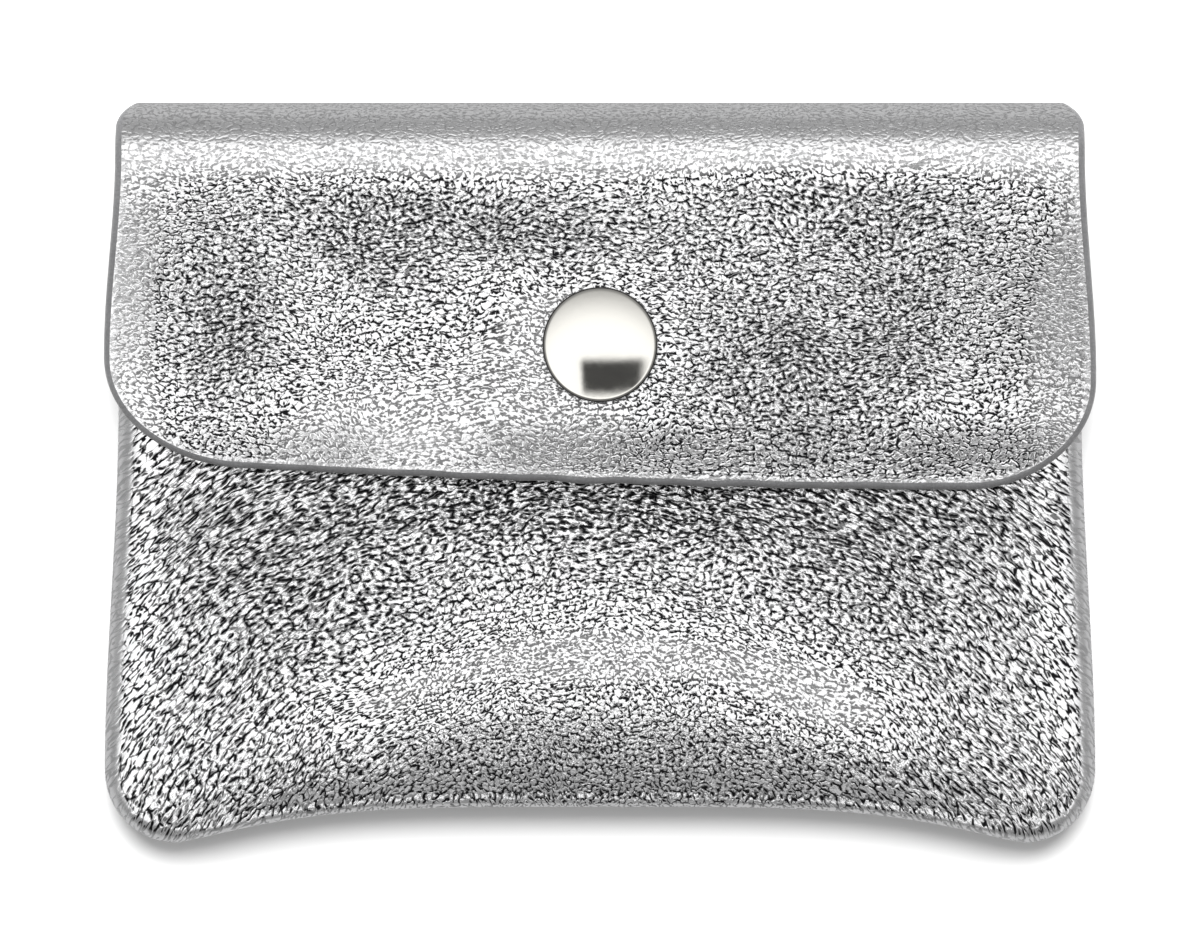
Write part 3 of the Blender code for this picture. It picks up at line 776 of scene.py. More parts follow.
def lay(height, x, y, depth):
    """Points at a depth below a surface z = height(x, y), measured square to it."""
    slope_x = (height(x + slope_step, y) - height(x - slope_step, y)) / (2 * slope_step)
    slope_y = (height(x, y + slope_step) - height(x, y - slope_step)) / (2 * slope_step)
    length = np.sqrt(1 + slope_x**2 + slope_y**2)
    return np.stack([x + depth * slope_x / length, y + depth * slope_y / length,
                     height(x, y) - depth / length], 1)


crest_z = float(front_height(np.zeros(1), np.array([crest_y]))[0])
print("front crest at z", round(crest_z / mm, 2), "mm")

# %% Thin the front panel's sides
side_thin_share = 0.5
side_thin_reach = 4.5 * mm


def thin_sides(points):
    """Presses the panel's side edges thinner, so that they fall away steeply to the seam."""
    thinned = points.copy()
    past = np.abs(points[:, 0]) - half_width + corner_width + side_thin_reach
    side = np.flatnonzero(past > 0)
    away = np.linalg.norm(points[side, None, :2] - seam_outline[None], axis=2).min(1)
    reach = np.clip(1 - away / side_thin_reach, 0, 1) ** 2 * ease(past[side] / side_thin_reach)
    thinned[side, 2] -= (points[side, 2] - front_base_z) * side_thin_share * reach
    return thinned


print("sides thinned over", round(side_thin_reach / mm, 1), "mm")

# %% Gather the front panel's grain and set its slack
gather_y = bottom_y - 28 * mm
gather_radius = 50 * mm
gather_turn = 1.1  # radians from the middle line at which the cells are twice as long as there
gather_scale = 0.99
front_slack_base, front_slack_range = 0.54, (0.05, 1.4)
front_slack_and_lip_shadow_patches = [
    (-33, -12, 12, 13, 30, 0.5),
    (33, -8, 14, 12, -30, 0.3),
    # painted shadow: this band and the next lie under the flap's lip, where their slack paints the creases
    # darker
    (0, -3, 46, 4, 0, 0.5),
    (24, -5, 20, 4, 0, 0.3),
    (0, -20, 20, 6, 0, -0.38),
    (-26, -25, 12, 6, 15, -0.4),
    (26, -25, 12, 6, -15, -0.4),
    (0, -34.3, 34, 3.6, 0, 0.9),
    (-51, -10, 4, 30, 0, -0.35),
    (51, -10, 4, 30, 0, -0.35),
]


def lay_gathered_grain(blank, flat):
    """Bends the net into arcs round a point below the pouch, as the puckers of its bottom seam run."""
    away = flat - (0, gather_y)
    radius = np.linalg.norm(away, axis=1)
    angle = np.arctan2(away[:, 0], away[:, 1])
    along = np.arctan(angle / gather_turn) * gather_turn * gather_radius
    place = np.stack([along, radius, radius * 0], 1) / gather_scale
    write_attribute(blank, "grain_mm", place / mm)


def front_slack(x, y):
    return np.clip(front_slack_base + sum_patches(x, y, front_slack_and_lip_shadow_patches), *front_slack_range)


print("slack patches on the front:", len(front_slack_and_lip_shadow_patches))

# %% Make the front panel
front_press_share = 0.9
front_press_start = 0.8 * mm  # how far into the turn the bottom edge is pressed smooth
sideways_share = 0.7  # a border that faces sideways by more than this is pressed from the start


def make_front_leather():
    blank, order = cut_blank("front_leather", pouch_field)
    line, normals = seam_border(blank, order)
    press_smooth(blank, line[np.abs(normals[:, 0]) > sideways_share], front_press_share)
    extrude_border(blank, line, normals, turn_steps, "turned")
    extrude_cut(blank, order[-1, ::-1], (0.0, 1.0))
    flat, depth, turned, raw = give_thickness(blank)
    outward = read_attribute(blank, "outward", 3)[:, :2]
    base = flat - outward * turned[:, None]
    points = lay(front_height, base[:, 0], base[:, 1], depth + edge_drop(raw, depth))
    rolled = roll_under(base, outward, turned, depth, front_turn_z, 1)
    write_points(blank, thin_sides(np.where((turned > 0)[:, None], rolled, points)))
    pressed = np.maximum(read_attribute(blank, "pressed", 1),
                         front_press_share * ease(turned / front_press_start))
    slack = front_slack(base[:, 0], base[:, 1]) * (1 - pressed)
    lay_gathered_grain(blank, flat)
    raise_grain(blank, depth, slack, seam_relief(turned))
    return blank


front_leather = make_front_leather()
print("front, lowest point:", round(read_points(front_leather)[:, 2].min() / mm, 2), "mm")

# %% [markdown]
# ## The back
#
# The back, the fold and the flap are one long piece of leather. On the blank it runs from the bottom of
# the back, round the fold, to the flap's lip, and its grain faces out everywhere. It could stay one mesh,
# but a mesh moves with one body or bends over one hinge line, so it is made in five lengths that meet edge
# to edge: the back, three lengths of fold, and the flap. One function gives the slack of the whole piece,
# so the grain runs on over the joins.
#
# The back lies flat on the table. Its border turns up and inwards to meet the front panel's, and above
# the pouch's mouth it narrows into the fold.

# %% The slack of the long leather
fold_start = roll_y
flap_start = roll_y + math.pi * fold_radius
fold_slack, back_slack, flap_slack_base, body_slack_range = 0.04, 0.45, 0.25, (0.05, 1.2)
tight_past_fold, back_loosens_over, flap_loosens_over = 1 * mm, 6 * mm, 4.5 * mm
flap_slack_patches = [
    (-41, 17, 6, 9, 0, 0.7),
    (-14, 27, 20, 3.8, -5, 0.75),
    (-21, 3.5, 14, 4, 0, -0.15),
    (-51, 20, 4.5, 16, 0, -0.2),
    (51, 18, 3.5, 14, 0, -0.15),
    (-24, 22, 8, 3, -20, 0.5),
    (27, 29, 16, 6, -8, 0.55),
    (21, 10, 12, 9, -30, 0.7),
    (34, 17, 7, 7, 0, 0.4),
    (0, 14, 10, 9, 0, -0.1),
]


def body_slack(flat):
    """The slack at places on the long blank: tight on the fold, looser on the back and the flap."""
    past = flat[:, 1] - flap_start
    flap = flap_slack_base + sum_patches(-flat[:, 0], roll_y - past, flap_slack_patches) - fold_slack
    back = (back_slack - fold_slack) * ease((fold_start - flat[:, 1] - tight_past_fold) / back_loosens_over)
    return np.clip(fold_slack + back + flap * ease(past / flap_loosens_over), *body_slack_range)


print("the flap starts", round((flap_start - fold_start) / mm, 2), "mm past the start of the fold")

# %% Make the back
leather_half_width = fold_half_width - edge_round
back_turn_z = turn_outside
back_press_share = 0.96


def lay_back_field():
    """The pouch's rows, and a neck of rows from its mouth to the fold."""
    neck_rows = round((roll_y - mouth_y) / grain_step)
    last = np.stack([np.linspace(-leather_half_width, leather_half_width, last_column + 1),
                     np.full(last_column + 1, roll_y)], 1)
    share = np.linspace(0, 1, neck_rows + 1)[1:, None, None]
    return np.concatenate([pouch_field, pouch_field[-1] * (1 - share) + last * share])


def make_back_leather():
    """The blank is drawn grain side up, so the back is its mirror image."""
    blank, order = cut_blank("back_leather", lay_back_field())
    line, normals = seam_border(blank, order)
    press_smooth(blank, line, back_press_share)
    extrude_border(blank, line, normals, turn_steps, "turned")
    extrude_cut_sides(blank, order[mouth_row:])
    flat, depth, turned, raw = give_thickness(blank)
    outward = read_attribute(blank, "outward", 3)[:, :2]
    base = (flat - outward * turned[:, None]) * mirror_x
    points = np.column_stack([base, depth + edge_drop(raw, depth)])
    rolled = roll_under(base, outward * mirror_x, turned, depth, back_turn_z, -1)
    write_points(blank, np.where((turned > 0)[:, None], rolled, points))
    slack = body_slack(flat) * (1 - read_attribute(blank, "pressed", 1))
    raise_grain(blank, depth, slack, seam_relief(turned))
    points = read_points(blank)
    points[:, 2] = np.maximum(points[:, 2], 0)
    write_points(blank, points)
    return blank


back_leather = make_back_leather()
print("back, lowest point:", round(read_points(back_leather)[:, 2].min() / mm, 3), "mm")

# %% [markdown]
# ## The fold
#
# The fold is a soft roll of leather, pulled tight, whose ends draw in where it bends most. In the model it
# bends over three hinge lines, so it is cut into three lengths of sixty degrees, one for each. Each is
# wound from its flat blank round the roll's axis: a point's distance along the blank becomes an angle.

# %% Make the three lengths of fold
fold_waist = 1.6 * mm
waist_angle = math.radians(55)  # from the middle of the fold to where the waist ends
length_angle = math.radians(60)


def roll_half_width(angle):
    """Half the leather's width on the fold, which draws in where the leather bends most."""
    bend = np.cos(np.minimum(np.abs(angle) / waist_angle, 1) * math.pi / 2)
    return fold_half_width - fold_waist * bend**2


def cut_edge_relief(raw):
    return raw < edge_round / 2


def make_fold_length(name, first_angle, last_angle):
    rows = round(fold_radius * (last_angle - first_angle) / grain_step)
    x = np.linspace(-leather_half_width, leather_half_width, last_column + 1)
    y = np.linspace(first_angle + math.pi / 2, last_angle + math.pi / 2, rows + 1) * fold_radius
    blank, order = cut_blank(name, np.stack(np.meshgrid(x, fold_start + y), 2))
    extrude_cut_sides(blank, order)
    flat, depth, _, raw = give_thickness(blank)
    angle = (flat[:, 1] - fold_start) / fold_radius - math.pi / 2
    radius = fold_radius - depth - edge_drop(raw, depth)
    write_points(blank, np.column_stack([-flat[:, 0] / fold_half_width * roll_half_width(angle),
                                         roll_y + radius * np.cos(angle),
                                         fold_radius + radius * np.sin(angle)]))
    raise_grain(blank, depth, body_slack(flat), cut_edge_relief(raw))
    return blank


fold_lengths = [make_fold_length(name, first * length_angle, (first + 1) * length_angle)
                for name, first in (("fold_leather_low", -1.5), ("fold_leather_middle", -0.5),
                                    ("fold_leather_high", 0.5))]
print("fold lengths:", len(fold_lengths))

# %% [markdown]
# ## The flap
#
# The flap's outline is two nearly straight sides, two wide corners and a long lip that hangs a little
# lower on the right. It lies high and flat round the stud, and falls off towards both sides. The corners
# differ because it is cut by hand, so each side has its own sizes in one small table. The outline is drawn
# on the blank, as a maker cuts it, and the flat piece is then laid on the height of the drape.

# %% Draw the flap's outline on the blank
lip_power = 1.8
lip_wave = 0.06 * mm  # the knife's wobble
wave_lengths = (1.1 * mm, 1.9 * mm)
flap_drop_right = 36.4 * mm
flap_sides = (  # side, flare, corner width, corner height, and drop from the top of the fold
    (-1, 1.45 * mm, 16.2 * mm, 12.0 * mm, 34.15 * mm),
    (1, 1.5 * mm, 14.3 * mm, 11.85 * mm, flap_drop_right),
)
flap_side_count, flap_corner_count, lip_count = 120, 60, 200


def draw_flap_outline():
    """The flap's edge on the blank: up the left side, along the lip, and down the right side."""
    halves, ends = [], []
    for sign, flare, width, height, drop in flap_sides:
        down = np.linspace(0, drop - height, flap_side_count, endpoint=False)
        side = np.stack([fold_half_width + flare * ease(down / (drop - height)), down], 1)
        angle = np.linspace(0, math.pi / 2, flap_corner_count)
        corner = np.array([fold_half_width + flare - width, drop - height]) + np.stack(
            [width * np.cos(angle), height * np.sin(angle)], 1)
        halves.append(np.concatenate([side, corner]) * (-sign, 1))
        ends.append(halves[-1][-1])
    share = np.linspace(0, 1, lip_count)[1:-1]
    lip = np.stack([ends[0][0] + (ends[1][0] - ends[0][0]) * share,
                    ends[0][1] + (ends[1][1] - ends[0][1]) * (1 - (1 - share) ** lip_power)], 1)
    wave = np.sin(lip[:, 0] / wave_lengths[0]) + np.sin(lip[:, 0] / wave_lengths[1] + 1)
    lip[:, 1] += lip_wave * wave * np.sin(math.pi * share)
    return np.concatenate([halves[0], lip, halves[1][::-1]]) + (0, flap_start)


def lay_flap_field():
    edge = draw_flap_outline()
    normals = outward_normals(edge)
    normals[0], normals[-1] = (1, 0), (-1, 0)
    inner = edge - normals * edge_round
    turn = flap_side_count + flap_corner_count // 2
    rows = round(flap_drop_right / grain_step)
    right = spread(inner[: turn + 1], rows)
    top = spread(inner[turn:-turn], last_column)[::-1]
    left = spread(inner[-turn - 1 :], rows)[::-1]
    bottom = spread(np.array([left[0], right[0]]), last_column)
    return rows_between(bottom, top, left, right)


flap_field = lay_flap_field()
print("flap field:", flap_field.shape[:2], "points")

# %% Drape the flap over the stud
flap_seat_z = cap_low.z - clearance
flap_fade = 20 * mm  # from the flat round the stud to where the flap lies low
flap_side_droop, flap_side_droop_length = 3.4 * mm, 30 * mm
flap_lip_droop = 0.8 * mm
flap_press_share = 0.8


def flap_height(x, y):
    outside = np.maximum(np.abs(x) - cap_flat, 0)
    low_edge = stud_y - cap_flat
    lift = (1 - ease(outside / flap_fade)) * ease((roll_y - y) / (roll_y - stud_y - cap_flat))
    droop = (outside / (half_width - cap_flat)) ** 2 * ease((roll_y - y) / flap_side_droop_length)
    lip = ease((low_edge - y) / (low_edge - roll_y + flap_drop_right))
    return fold_top + (flap_seat_z - fold_top) * lift - flap_side_droop * droop - flap_lip_droop * lip


def make_flap_leather():
    blank, order = cut_blank("flap_leather", flap_field)
    line = np.concatenate([order[:, -1], order[-1, -2:0:-1], order[::-1, 0]])
    normals = outward_normals(read_points(blank)[line, :2])
    normals[0], normals[-1] = (1, 0), (-1, 0)
    rim = np.concatenate([order[:, -2:].ravel(), order[-2:].ravel(), order[:, :2].ravel()])
    press_smooth(blank, rim, flap_press_share)
    extrude_border(blank, line, normals, round_steps, "raw")
    flat, depth, _, raw = give_thickness(blank)
    x, y = -flat[:, 0], roll_y + flap_start - flat[:, 1]
    write_points(blank, lay(flap_height, x, y, depth + edge_drop(raw, depth)))
    slack = body_slack(flat) * (1 - read_attribute(blank, "pressed", 1))
    raise_grain(blank, depth, slack, cut_edge_relief(raw))
    return blank


flap_leather = make_flap_leather()
print("flap, highest point:", round(read_points(flap_leather)[:, 2].max() / mm, 2), "mm")

# %% [markdown]
# ## Nickel plate
#
# A press stud is pressed and turned from thin brass and then plated with nickel, a slightly warm white
# metal. The cap is polished on a wheel, which leaves it almost a mirror with the faintest ripple. The
# hidden parts are only tumbled, so they stay satin. One recipe serves all three metals here: their haze
# and the depth of their marks are what sets them apart.

# %% Nickel, polished and satin
mark_size = 0.9 * mm


def make_nickel(name, colour, haze, mark_mm):
    """A metal that mirrors its room, sharply where its haze is low and as a soft glow where it is high."""
    material, tree, shader = new_material(name)
    place = add_node(tree, "ShaderNodeTexCoord").outputs["Object"]
    fine = add_node(tree, "ShaderNodeTexNoise", {"Vector": place, "Scale": 1 / mark_size, "Detail": 5.0})
    height = add_node(tree, "ShaderNodeMath", (fine, mark_mm), operation="MULTIPLY")
    fill_sockets(tree, shader, {
        "Base Color": linear(colour),
        "Metallic": 1.0,
        "Roughness": add_node(tree, "ShaderNodeMapRange", (fine, 0.3, 0.7, haze * 0.8, haze * 1.3)),
        "Normal": add_node(tree, "ShaderNodeBump", {"Distance": mm, "Height": height}),
    })
    return material


cap_plate = "#e3e1db"
polished_nickel = make_nickel("polished_nickel_plate", cap_plate, 0.1, 0.004)
satin_nickel = make_nickel("satin_nickel_plate", "#bdbab2", 0.28, 0.01)
spring_steel = make_nickel("drawn_spring_wire", "#9c9a95", 0.3, 0.01)
print("metals:", polished_nickel.name, satin_nickel.name, spring_steel.name)

# %% [markdown]
# ## Turning round parts
#
# Round parts are made as on a lathe: one point is extruded along the profile and the profile is spun about
# the axis. A Screw modifier would do the same, but the operator leaves nothing to apply and is what one
# does by hand. The spin meets itself at its seam and on the axis, so doubles are merged before the piece
# is shaded.

# %% Draw a chain of points, and spin it about the stud's axis
merge_distance = 0.001 * mm
sharp_from = math.radians(40)  # edges that bend by more than this stay sharp


def draw_chain(name, points):
    """A line of edges: one point, extruded from place to place."""
    bpy.ops.object.select_all(action="DESELECT")
    bpy.ops.mesh.primitive_plane_add(size=0.1 * mm, location=points[0])
    piece = bpy.context.object
    piece.name = piece.data.name = name
    bpy.context.tool_settings.mesh_select_mode = (True, False, False)
    bpy.ops.object.mode_set(mode="EDIT")
    bpy.ops.mesh.select_all(action="SELECT")
    bpy.ops.mesh.merge(type="CENTER")
    for last, point in zip(points, points[1:]):
        step = [b - a for a, b in zip(last, point)]
        bpy.ops.mesh.extrude_vertices_move(TRANSFORM_OT_translate={"value": step})
    return piece


def finish_piece(piece, material):
    """Merges doubles, moves the piece's place into its mesh, and gives it its metal or thread."""
    bpy.ops.mesh.select_all(action="SELECT")
    bpy.ops.mesh.remove_doubles(threshold=merge_distance)
    bpy.ops.object.mode_set(mode="OBJECT")
    bpy.ops.object.transform_apply(location=True, rotation=False, scale=False)
    piece.data.materials.clear()
    piece.data.materials.append(material)
    piece.data.shade_smooth()
    bpy.ops.object.shade_smooth_by_angle(angle=sharp_from)


def turn_piece(name, profile, base_z, steps, material):
    """A turned piece from a profile of (radius, height) that starts at the top and runs down outside."""
    piece = draw_chain(name, [(r, stud_y, base_z + z) for r, z in profile])
    bpy.ops.mesh.select_all(action="SELECT")
    bpy.ops.mesh.spin(steps=steps, angle=2 * math.pi, center=(0, stud_y, 0), axis=(0, 0, 1))
    bpy.ops.mesh.select_all(action="SELECT")
    bpy.ops.mesh.flip_normals()
    finish_piece(piece, material)
    print(name, "mm3:", round(signed_volume(piece) / mm**3, 1))
    return piece


def arc(centre_r, centre_z, radius, start, end, steps):
    angles = np.radians(np.linspace(start, end, steps + 1))
    return [(centre_r + radius * math.cos(a), centre_z + radius * math.sin(a)) for a in angles]


def signed_volume(obj):
    """Positive where the faces point out."""
    obj.data.calc_loop_triangles()
    points = read_points(obj)
    corners = np.empty(len(obj.data.loop_triangles) * 3, int)
    obj.data.loop_triangles.foreach_get("vertices", corners)
    a, b, c = (points[corners[k::3]] for k in range(3))
    return float(np.einsum("ij,ij->i", a, np.cross(b, c)).sum() / 6)


print("turned about y", round(stud_y / mm, 2), "mm")

# %% [markdown]
# ## The domed cap
#
# The cap is a thin shell: a shallow dome, a rounded edge, and a lip closed under the post's flange. It
# could be a squashed sphere, but a sphere's poles and its hard rim would show at once in a mirror this
# small. Its profile has the finest steps of all the turned parts, and the dome runs into the edge at the
# slope that it has there, so no ring shows. Low on the rounded edge the plate's colour is painted dark,
# a painted shade and painted dark reflection that draws a thin dark line round the cap.

# %% Turn the cap
cap_radius = cap_high.x
cap_height = cap_high.z - cap_low.z
cap_crown = 1.05 * mm
cap_edge = 0.6 * mm
cap_sheet = 0.3 * mm
cap_lip = 1.75 * mm
cap_slope = math.atan(2 * cap_crown / (cap_radius - cap_edge / 2))
cap_edge_z = cap_height - cap_crown - cap_edge * math.cos(cap_slope)
# painted shade: the cap's plate turns to this dark grey low on its rounded edge, as painted shade and painted
# dark reflection
rim_shade_share, rim_shade_end_share = 0.55, 0.9  # of the rounded edge, up to where the painted shade is full and from where it is gone
rim_shade_colour = "#2c2b29"


def paint_rim_shade(material):
    tree = material.node_tree
    place = add_node(tree, "ShaderNodeTexCoord")
    height = add_node(tree, "ShaderNodeSeparateXYZ", (place.outputs["Object"],)).outputs["Z"]
    rim_shade_z, rim_unshaded_z = (cap_low.z + cap_edge_z + share * cap_edge for share in (rim_shade_share, rim_shade_end_share))
    # painted shade: the plate is painted dark low on the edge and turns back to its own colour higher up
    light = add_node(tree, "ShaderNodeMapRange", (height, rim_shade_z, rim_unshaded_z), interpolation_type="SMOOTHSTEP")
    plate = add_node(tree, "ShaderNodeMix", {0: light, 6: linear(rim_shade_colour), 7: linear(cap_plate)},
                     data_type="RGBA")
    fill_sockets(tree, tree.nodes["Principled BSDF"], {"Base Color": plate})


def make_cap():
    edge_r = cap_radius - cap_edge
    dome_r = edge_r + cap_edge * math.sin(cap_slope)
    start = 90 - math.degrees(cap_slope)
    dome = [(dome_r * s, cap_height - cap_crown * s * s) for s in np.linspace(0, 1, 41)[:-1]]
    inside_edge = cap_edge - cap_sheet
    profile = dome + arc(edge_r, cap_edge_z, cap_edge, start, 0, 10)
    profile += arc(edge_r, cap_edge, cap_edge, 0, -90, 10)
    profile += [(cap_radius - cap_lip, 0), (cap_radius - cap_lip, cap_sheet)]
    profile += arc(edge_r, cap_edge, inside_edge, -90, 0, 6)
    profile += arc(edge_r, cap_edge_z, inside_edge, 0, start, 6)
    profile += [(r, z - cap_sheet) for r, z in dome[::-1]]
    return turn_piece("domed_cap", profile, cap_low.z, 128, polished_nickel)


# paints the shade on the cap's lower edge into its plate colour
paint_rim_shade(polished_nickel)
domed_cap = make_cap()
print("cap slope at its edge:", round(math.degrees(cap_slope), 1), "degrees")

# %% [markdown]
# ## The post and the socket
#
# The cap's flange holds an eyelet post, whose barrel goes through the flap and is curled over inside the
# socket to hold it. The socket is a pressed cup with its mouth rolled inwards, so that the stud finds its
# way in. Both are bent from sheet, so each profile runs once round the sheet and every bend is an arc.

# %% Turn the post and the socket
post_low, post_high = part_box("cap_post")
socket_low, socket_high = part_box("socket_body")
post_radius, post_sheet, post_curl_radius = 1.5 * mm, 0.3 * mm, 2.4 * mm
socket_sheet, socket_edge, socket_mouth = 0.35 * mm, 0.6 * mm, 2.75 * mm


def make_post():
    height = post_high.z - post_low.z
    bore = post_radius - post_sheet
    half = post_sheet / 2
    profile = [(bore, height)] + arc(post_high.x - half, height - half, half, 90, -90, 6)
    profile += [(post_radius, height - post_sheet)]
    profile += arc(post_curl_radius - half, half, half, 90, -90, 6) + [(bore, 0), (bore, height)]
    return turn_piece("eyelet_post", profile, post_low.z, 64, satin_nickel)


def make_socket():
    height = socket_high.z - socket_low.z
    shoulder = socket_high.x - socket_edge
    inside = socket_high.x - socket_sheet
    top_hole = post_radius + clearance
    half = socket_sheet / 2
    profile = [(top_hole, height)] + arc(shoulder, height - socket_edge, socket_edge, 90, 0, 8)
    profile += arc(shoulder, socket_edge, socket_edge, 0, -90, 8)
    profile += arc(socket_mouth + half, half, half, -90, -270, 8)
    profile += [(inside, socket_sheet), (inside, height - socket_sheet), (top_hole, height - socket_sheet)]
    return turn_piece("snap_socket", profile + [(top_hole, height)], socket_low.z, 80, satin_nickel)


eyelet_post, snap_socket = make_post(), make_socket()
print("socket mouth", round(2 * socket_mouth / mm, 2), "mm wide")

# %% [markdown]
# ## The stud and its rivet
#
# The stud sits on the front panel: a flange, a neck that the socket's spring closes on, and a round head
# that spreads the spring on its way in. A hollow rivet holds it from inside the pouch.

# %% Turn the stud and the rivet
stud_low, stud_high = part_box("stud")
rivet_low, rivet_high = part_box("stud_post")
stud_flange, stud_neck, stud_head, stud_sheet = 0.5 * mm, 1.95 * mm, 2.2 * mm, 0.25 * mm
rivet_radius, rivet_bore, rivet_flange = 1.25 * mm, 0.8 * mm, 0.5 * mm


def make_stud():
    top = stud_high.z - stud_low.z
    bore = rivet_radius + clearance
    fall = top - stud_sheet
    profile = [(0, top)] + arc(stud_head - 2 * stud_sheet, top - 2 * stud_sheet, 2 * stud_sheet, 90, -40, 10)
    profile += arc(stud_neck + stud_sheet, stud_flange + stud_sheet, stud_sheet, 180, 270, 5)
    profile += arc(stud_high.x - stud_sheet, stud_sheet, stud_sheet, 90, -90, 8)
    profile += [(bore, 0), (bore, fall), (0, fall)]
    return turn_piece("snap_stud", profile, stud_low.z, 80, satin_nickel)


def make_rivet():
    height = rivet_high.z - rivet_low.z
    half = rivet_flange / 2
    floor = 2 * rivet_flange
    profile = [(0, floor), (rivet_bore, floor), (rivet_bore, height), (rivet_radius, height)]
    profile += [(rivet_radius, rivet_flange)] + arc(rivet_high.x - half, half, half, 90, -90, 8) + [(0, 0)]
    return turn_piece("stud_rivet", profile, rivet_low.z, 64, satin_nickel)


snap_stud, stud_rivet = make_stud(), make_rivet()
print("stud", round((stud_high.z - stud_low.z) / mm, 2), "mm high")

# %% [markdown]
# ## The spring
#
# Inside the socket lies a bow of spring wire with two legs whose hooks face each other. It snaps shut
# under the stud's head. A wire could be a tube swept by hand, but a line of points turns into one by
# itself when it is made a curve with a bevel, and then a mesh again.

# %% Bend the spring
spring_low, spring_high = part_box("socket_spring")
spring_leg, spring_hook, spring_bow_steps = 4.3 * mm, 1.6 * mm, 24


def draw_wire(name, points, radius, material):
    draw_chain(name, points)
    bpy.ops.object.mode_set(mode="OBJECT")
    bpy.ops.object.convert(target="CURVE")
    curve = bpy.context.object.data
    curve.bevel_depth = radius
    curve.bevel_resolution = 2
    curve.use_fill_caps = True
    bpy.ops.object.convert(target="MESH")
    bpy.ops.object.mode_set(mode="EDIT")
    finish_piece(bpy.context.object, material)
    return bpy.context.object


def make_spring():
    wire_radius = (spring_high.z - spring_low.z) / 2
    half = spring_high.x - wire_radius
    top = spring_leg / 2 - half / 4
    low = top - spring_leg
    outline = [(half - spring_hook, low - half / 3), (half - spring_hook / 4, low - half / 4), (half, low)]
    for k in range(spring_bow_steps):
        angle = math.pi / 2 * k / spring_bow_steps
        outline.append((half * math.cos(angle), top + half * math.sin(angle)))
    outline = outline + [(0, top + half)] + [(-x, y) for x, y in outline[::-1]]
    z = spring_low.z + wire_radius
    return draw_wire("wire_spring", [(x, stud_y + y, z) for x, y in outline], wire_radius, spring_steel)


wire_spring = make_spring()
print("spring:", len(wire_spring.data.polygons), "faces")

# %% [markdown]
# ## The seam's two threads
#
# The seam is a lockstitch in grey polyester thread: two cords, one on each side, that dive into the leather
# between their stitches and catch each other there. Each is drawn as one long wire along the seam, with a
# formula that presses it in at every stitch. Single stitches would be simpler, but a seam seen from inside
# the pouch shows that its thread runs on.

# %% Sew the seam
thread_radius = 0.2 * mm
stitch_inset, stitch_end = 2.5 * mm, 1.0 * mm  # from the outline, and from the mouth to the first stitch
stitch_length, stitch_dip, stitch_points = 2.5 * mm, 0.3 * mm, 6
dip_power = 6  # how short the dip is beside the stitch
rest_share = 0.8  # of its radius by which a thread stands on the leather
twist_length = 6 * mm


def make_thread():
    """Two grey plies, twisted: fine slanted bands, with a dull synthetic gloss."""
    material, tree, shader = new_material("grey_polyester_thread")
    place = add_node(tree, "ShaderNodeTexCoord").outputs["Object"]
    twist = add_node(tree, "ShaderNodeTexWave", {"Vector": place, "Scale": 1 / twist_length,
                                                 "Distortion": 2.0},
                     bands_direction="DIAGONAL").outputs["Fac"]
    fill_sockets(tree, shader, {
        "Base Color": add_node(tree, "ShaderNodeMix", {0: twist, 6: linear("#6d6d6b"), 7: linear("#94948f")},
                               data_type="RGBA"),
        "Normal": add_node(tree, "ShaderNodeBump", {"Distance": 0.03 * mm, "Height": twist}),
        "Roughness": 0.6,
    })
    return material


def sew(name, leather_z, side):
    """A thread on the suede side of one allowance. side is 1 where the suede faces up and -1 where down."""
    half = half_outline - half_normals * stitch_inset
    line = both_halves(half[half[:, 1] < mouth_y - stitch_end])
    length = np.linalg.norm(np.diff(line, axis=0), axis=1).sum()
    stitches = round(length / stitch_length)
    line = spread(line, stitches * stitch_points)
    wave = np.abs(np.cos(np.arange(len(line)) / stitch_points * math.pi)) ** dip_power
    z = leather_z + side * (thread_radius * rest_share - stitch_dip * wave)
    print(name, stitches, "stitches")
    return draw_wire(name, [tuple(point) for point in np.column_stack([line, z])], thread_radius, thread)


thread = make_thread()
needle_thread = sew("needle_thread_stitches", front_turn_z - turn_inside, 1)
bobbin_thread = sew("bobbin_thread_stitches", back_turn_z + turn_inside, -1)

# %% [markdown]
# ## Paper
#
# The wallet lies on white paper. The paper's own grey is set so that it comes out just white in this
# light, as a product photographer sets it, and it keeps a soft shadow. The foil doesn't mirror it, because
# the world below already does the work of a room.

# %% Lay the paper
def lay_paper():
    bpy.ops.object.select_all(action="DESELECT")
    bpy.ops.mesh.primitive_plane_add(size=6, location=(0, 0, 0))
    paper = bpy.context.object
    paper.name = "white_paper"
    material, tree, shader = new_material("white_paper")
    fill_sockets(tree, shader, {"Base Color": linear("#c4c4c4"), "Roughness": 0.9})
    paper.data.materials.append(material)
    paper.visible_glossy = False
    return paper


paper = lay_paper()
print("paper", round(paper.dimensions.x, 1), "m wide")

# %% [markdown]
# ## The studio
#
# Foil shows what it mirrors, so the light matters as much as the material. Lamps and cards could be set up
# one by one, but a studio drawn into the world by direction is smoother and quicker to change: a wide
# light overhead, paler walls to the sides and behind, a dim room on the side of the wallet's bottom, and
# one dark panel that only a mirror as sharp as the cap shows. A soft lamp behind the fold lights the paper
# and throws the shadow forward.

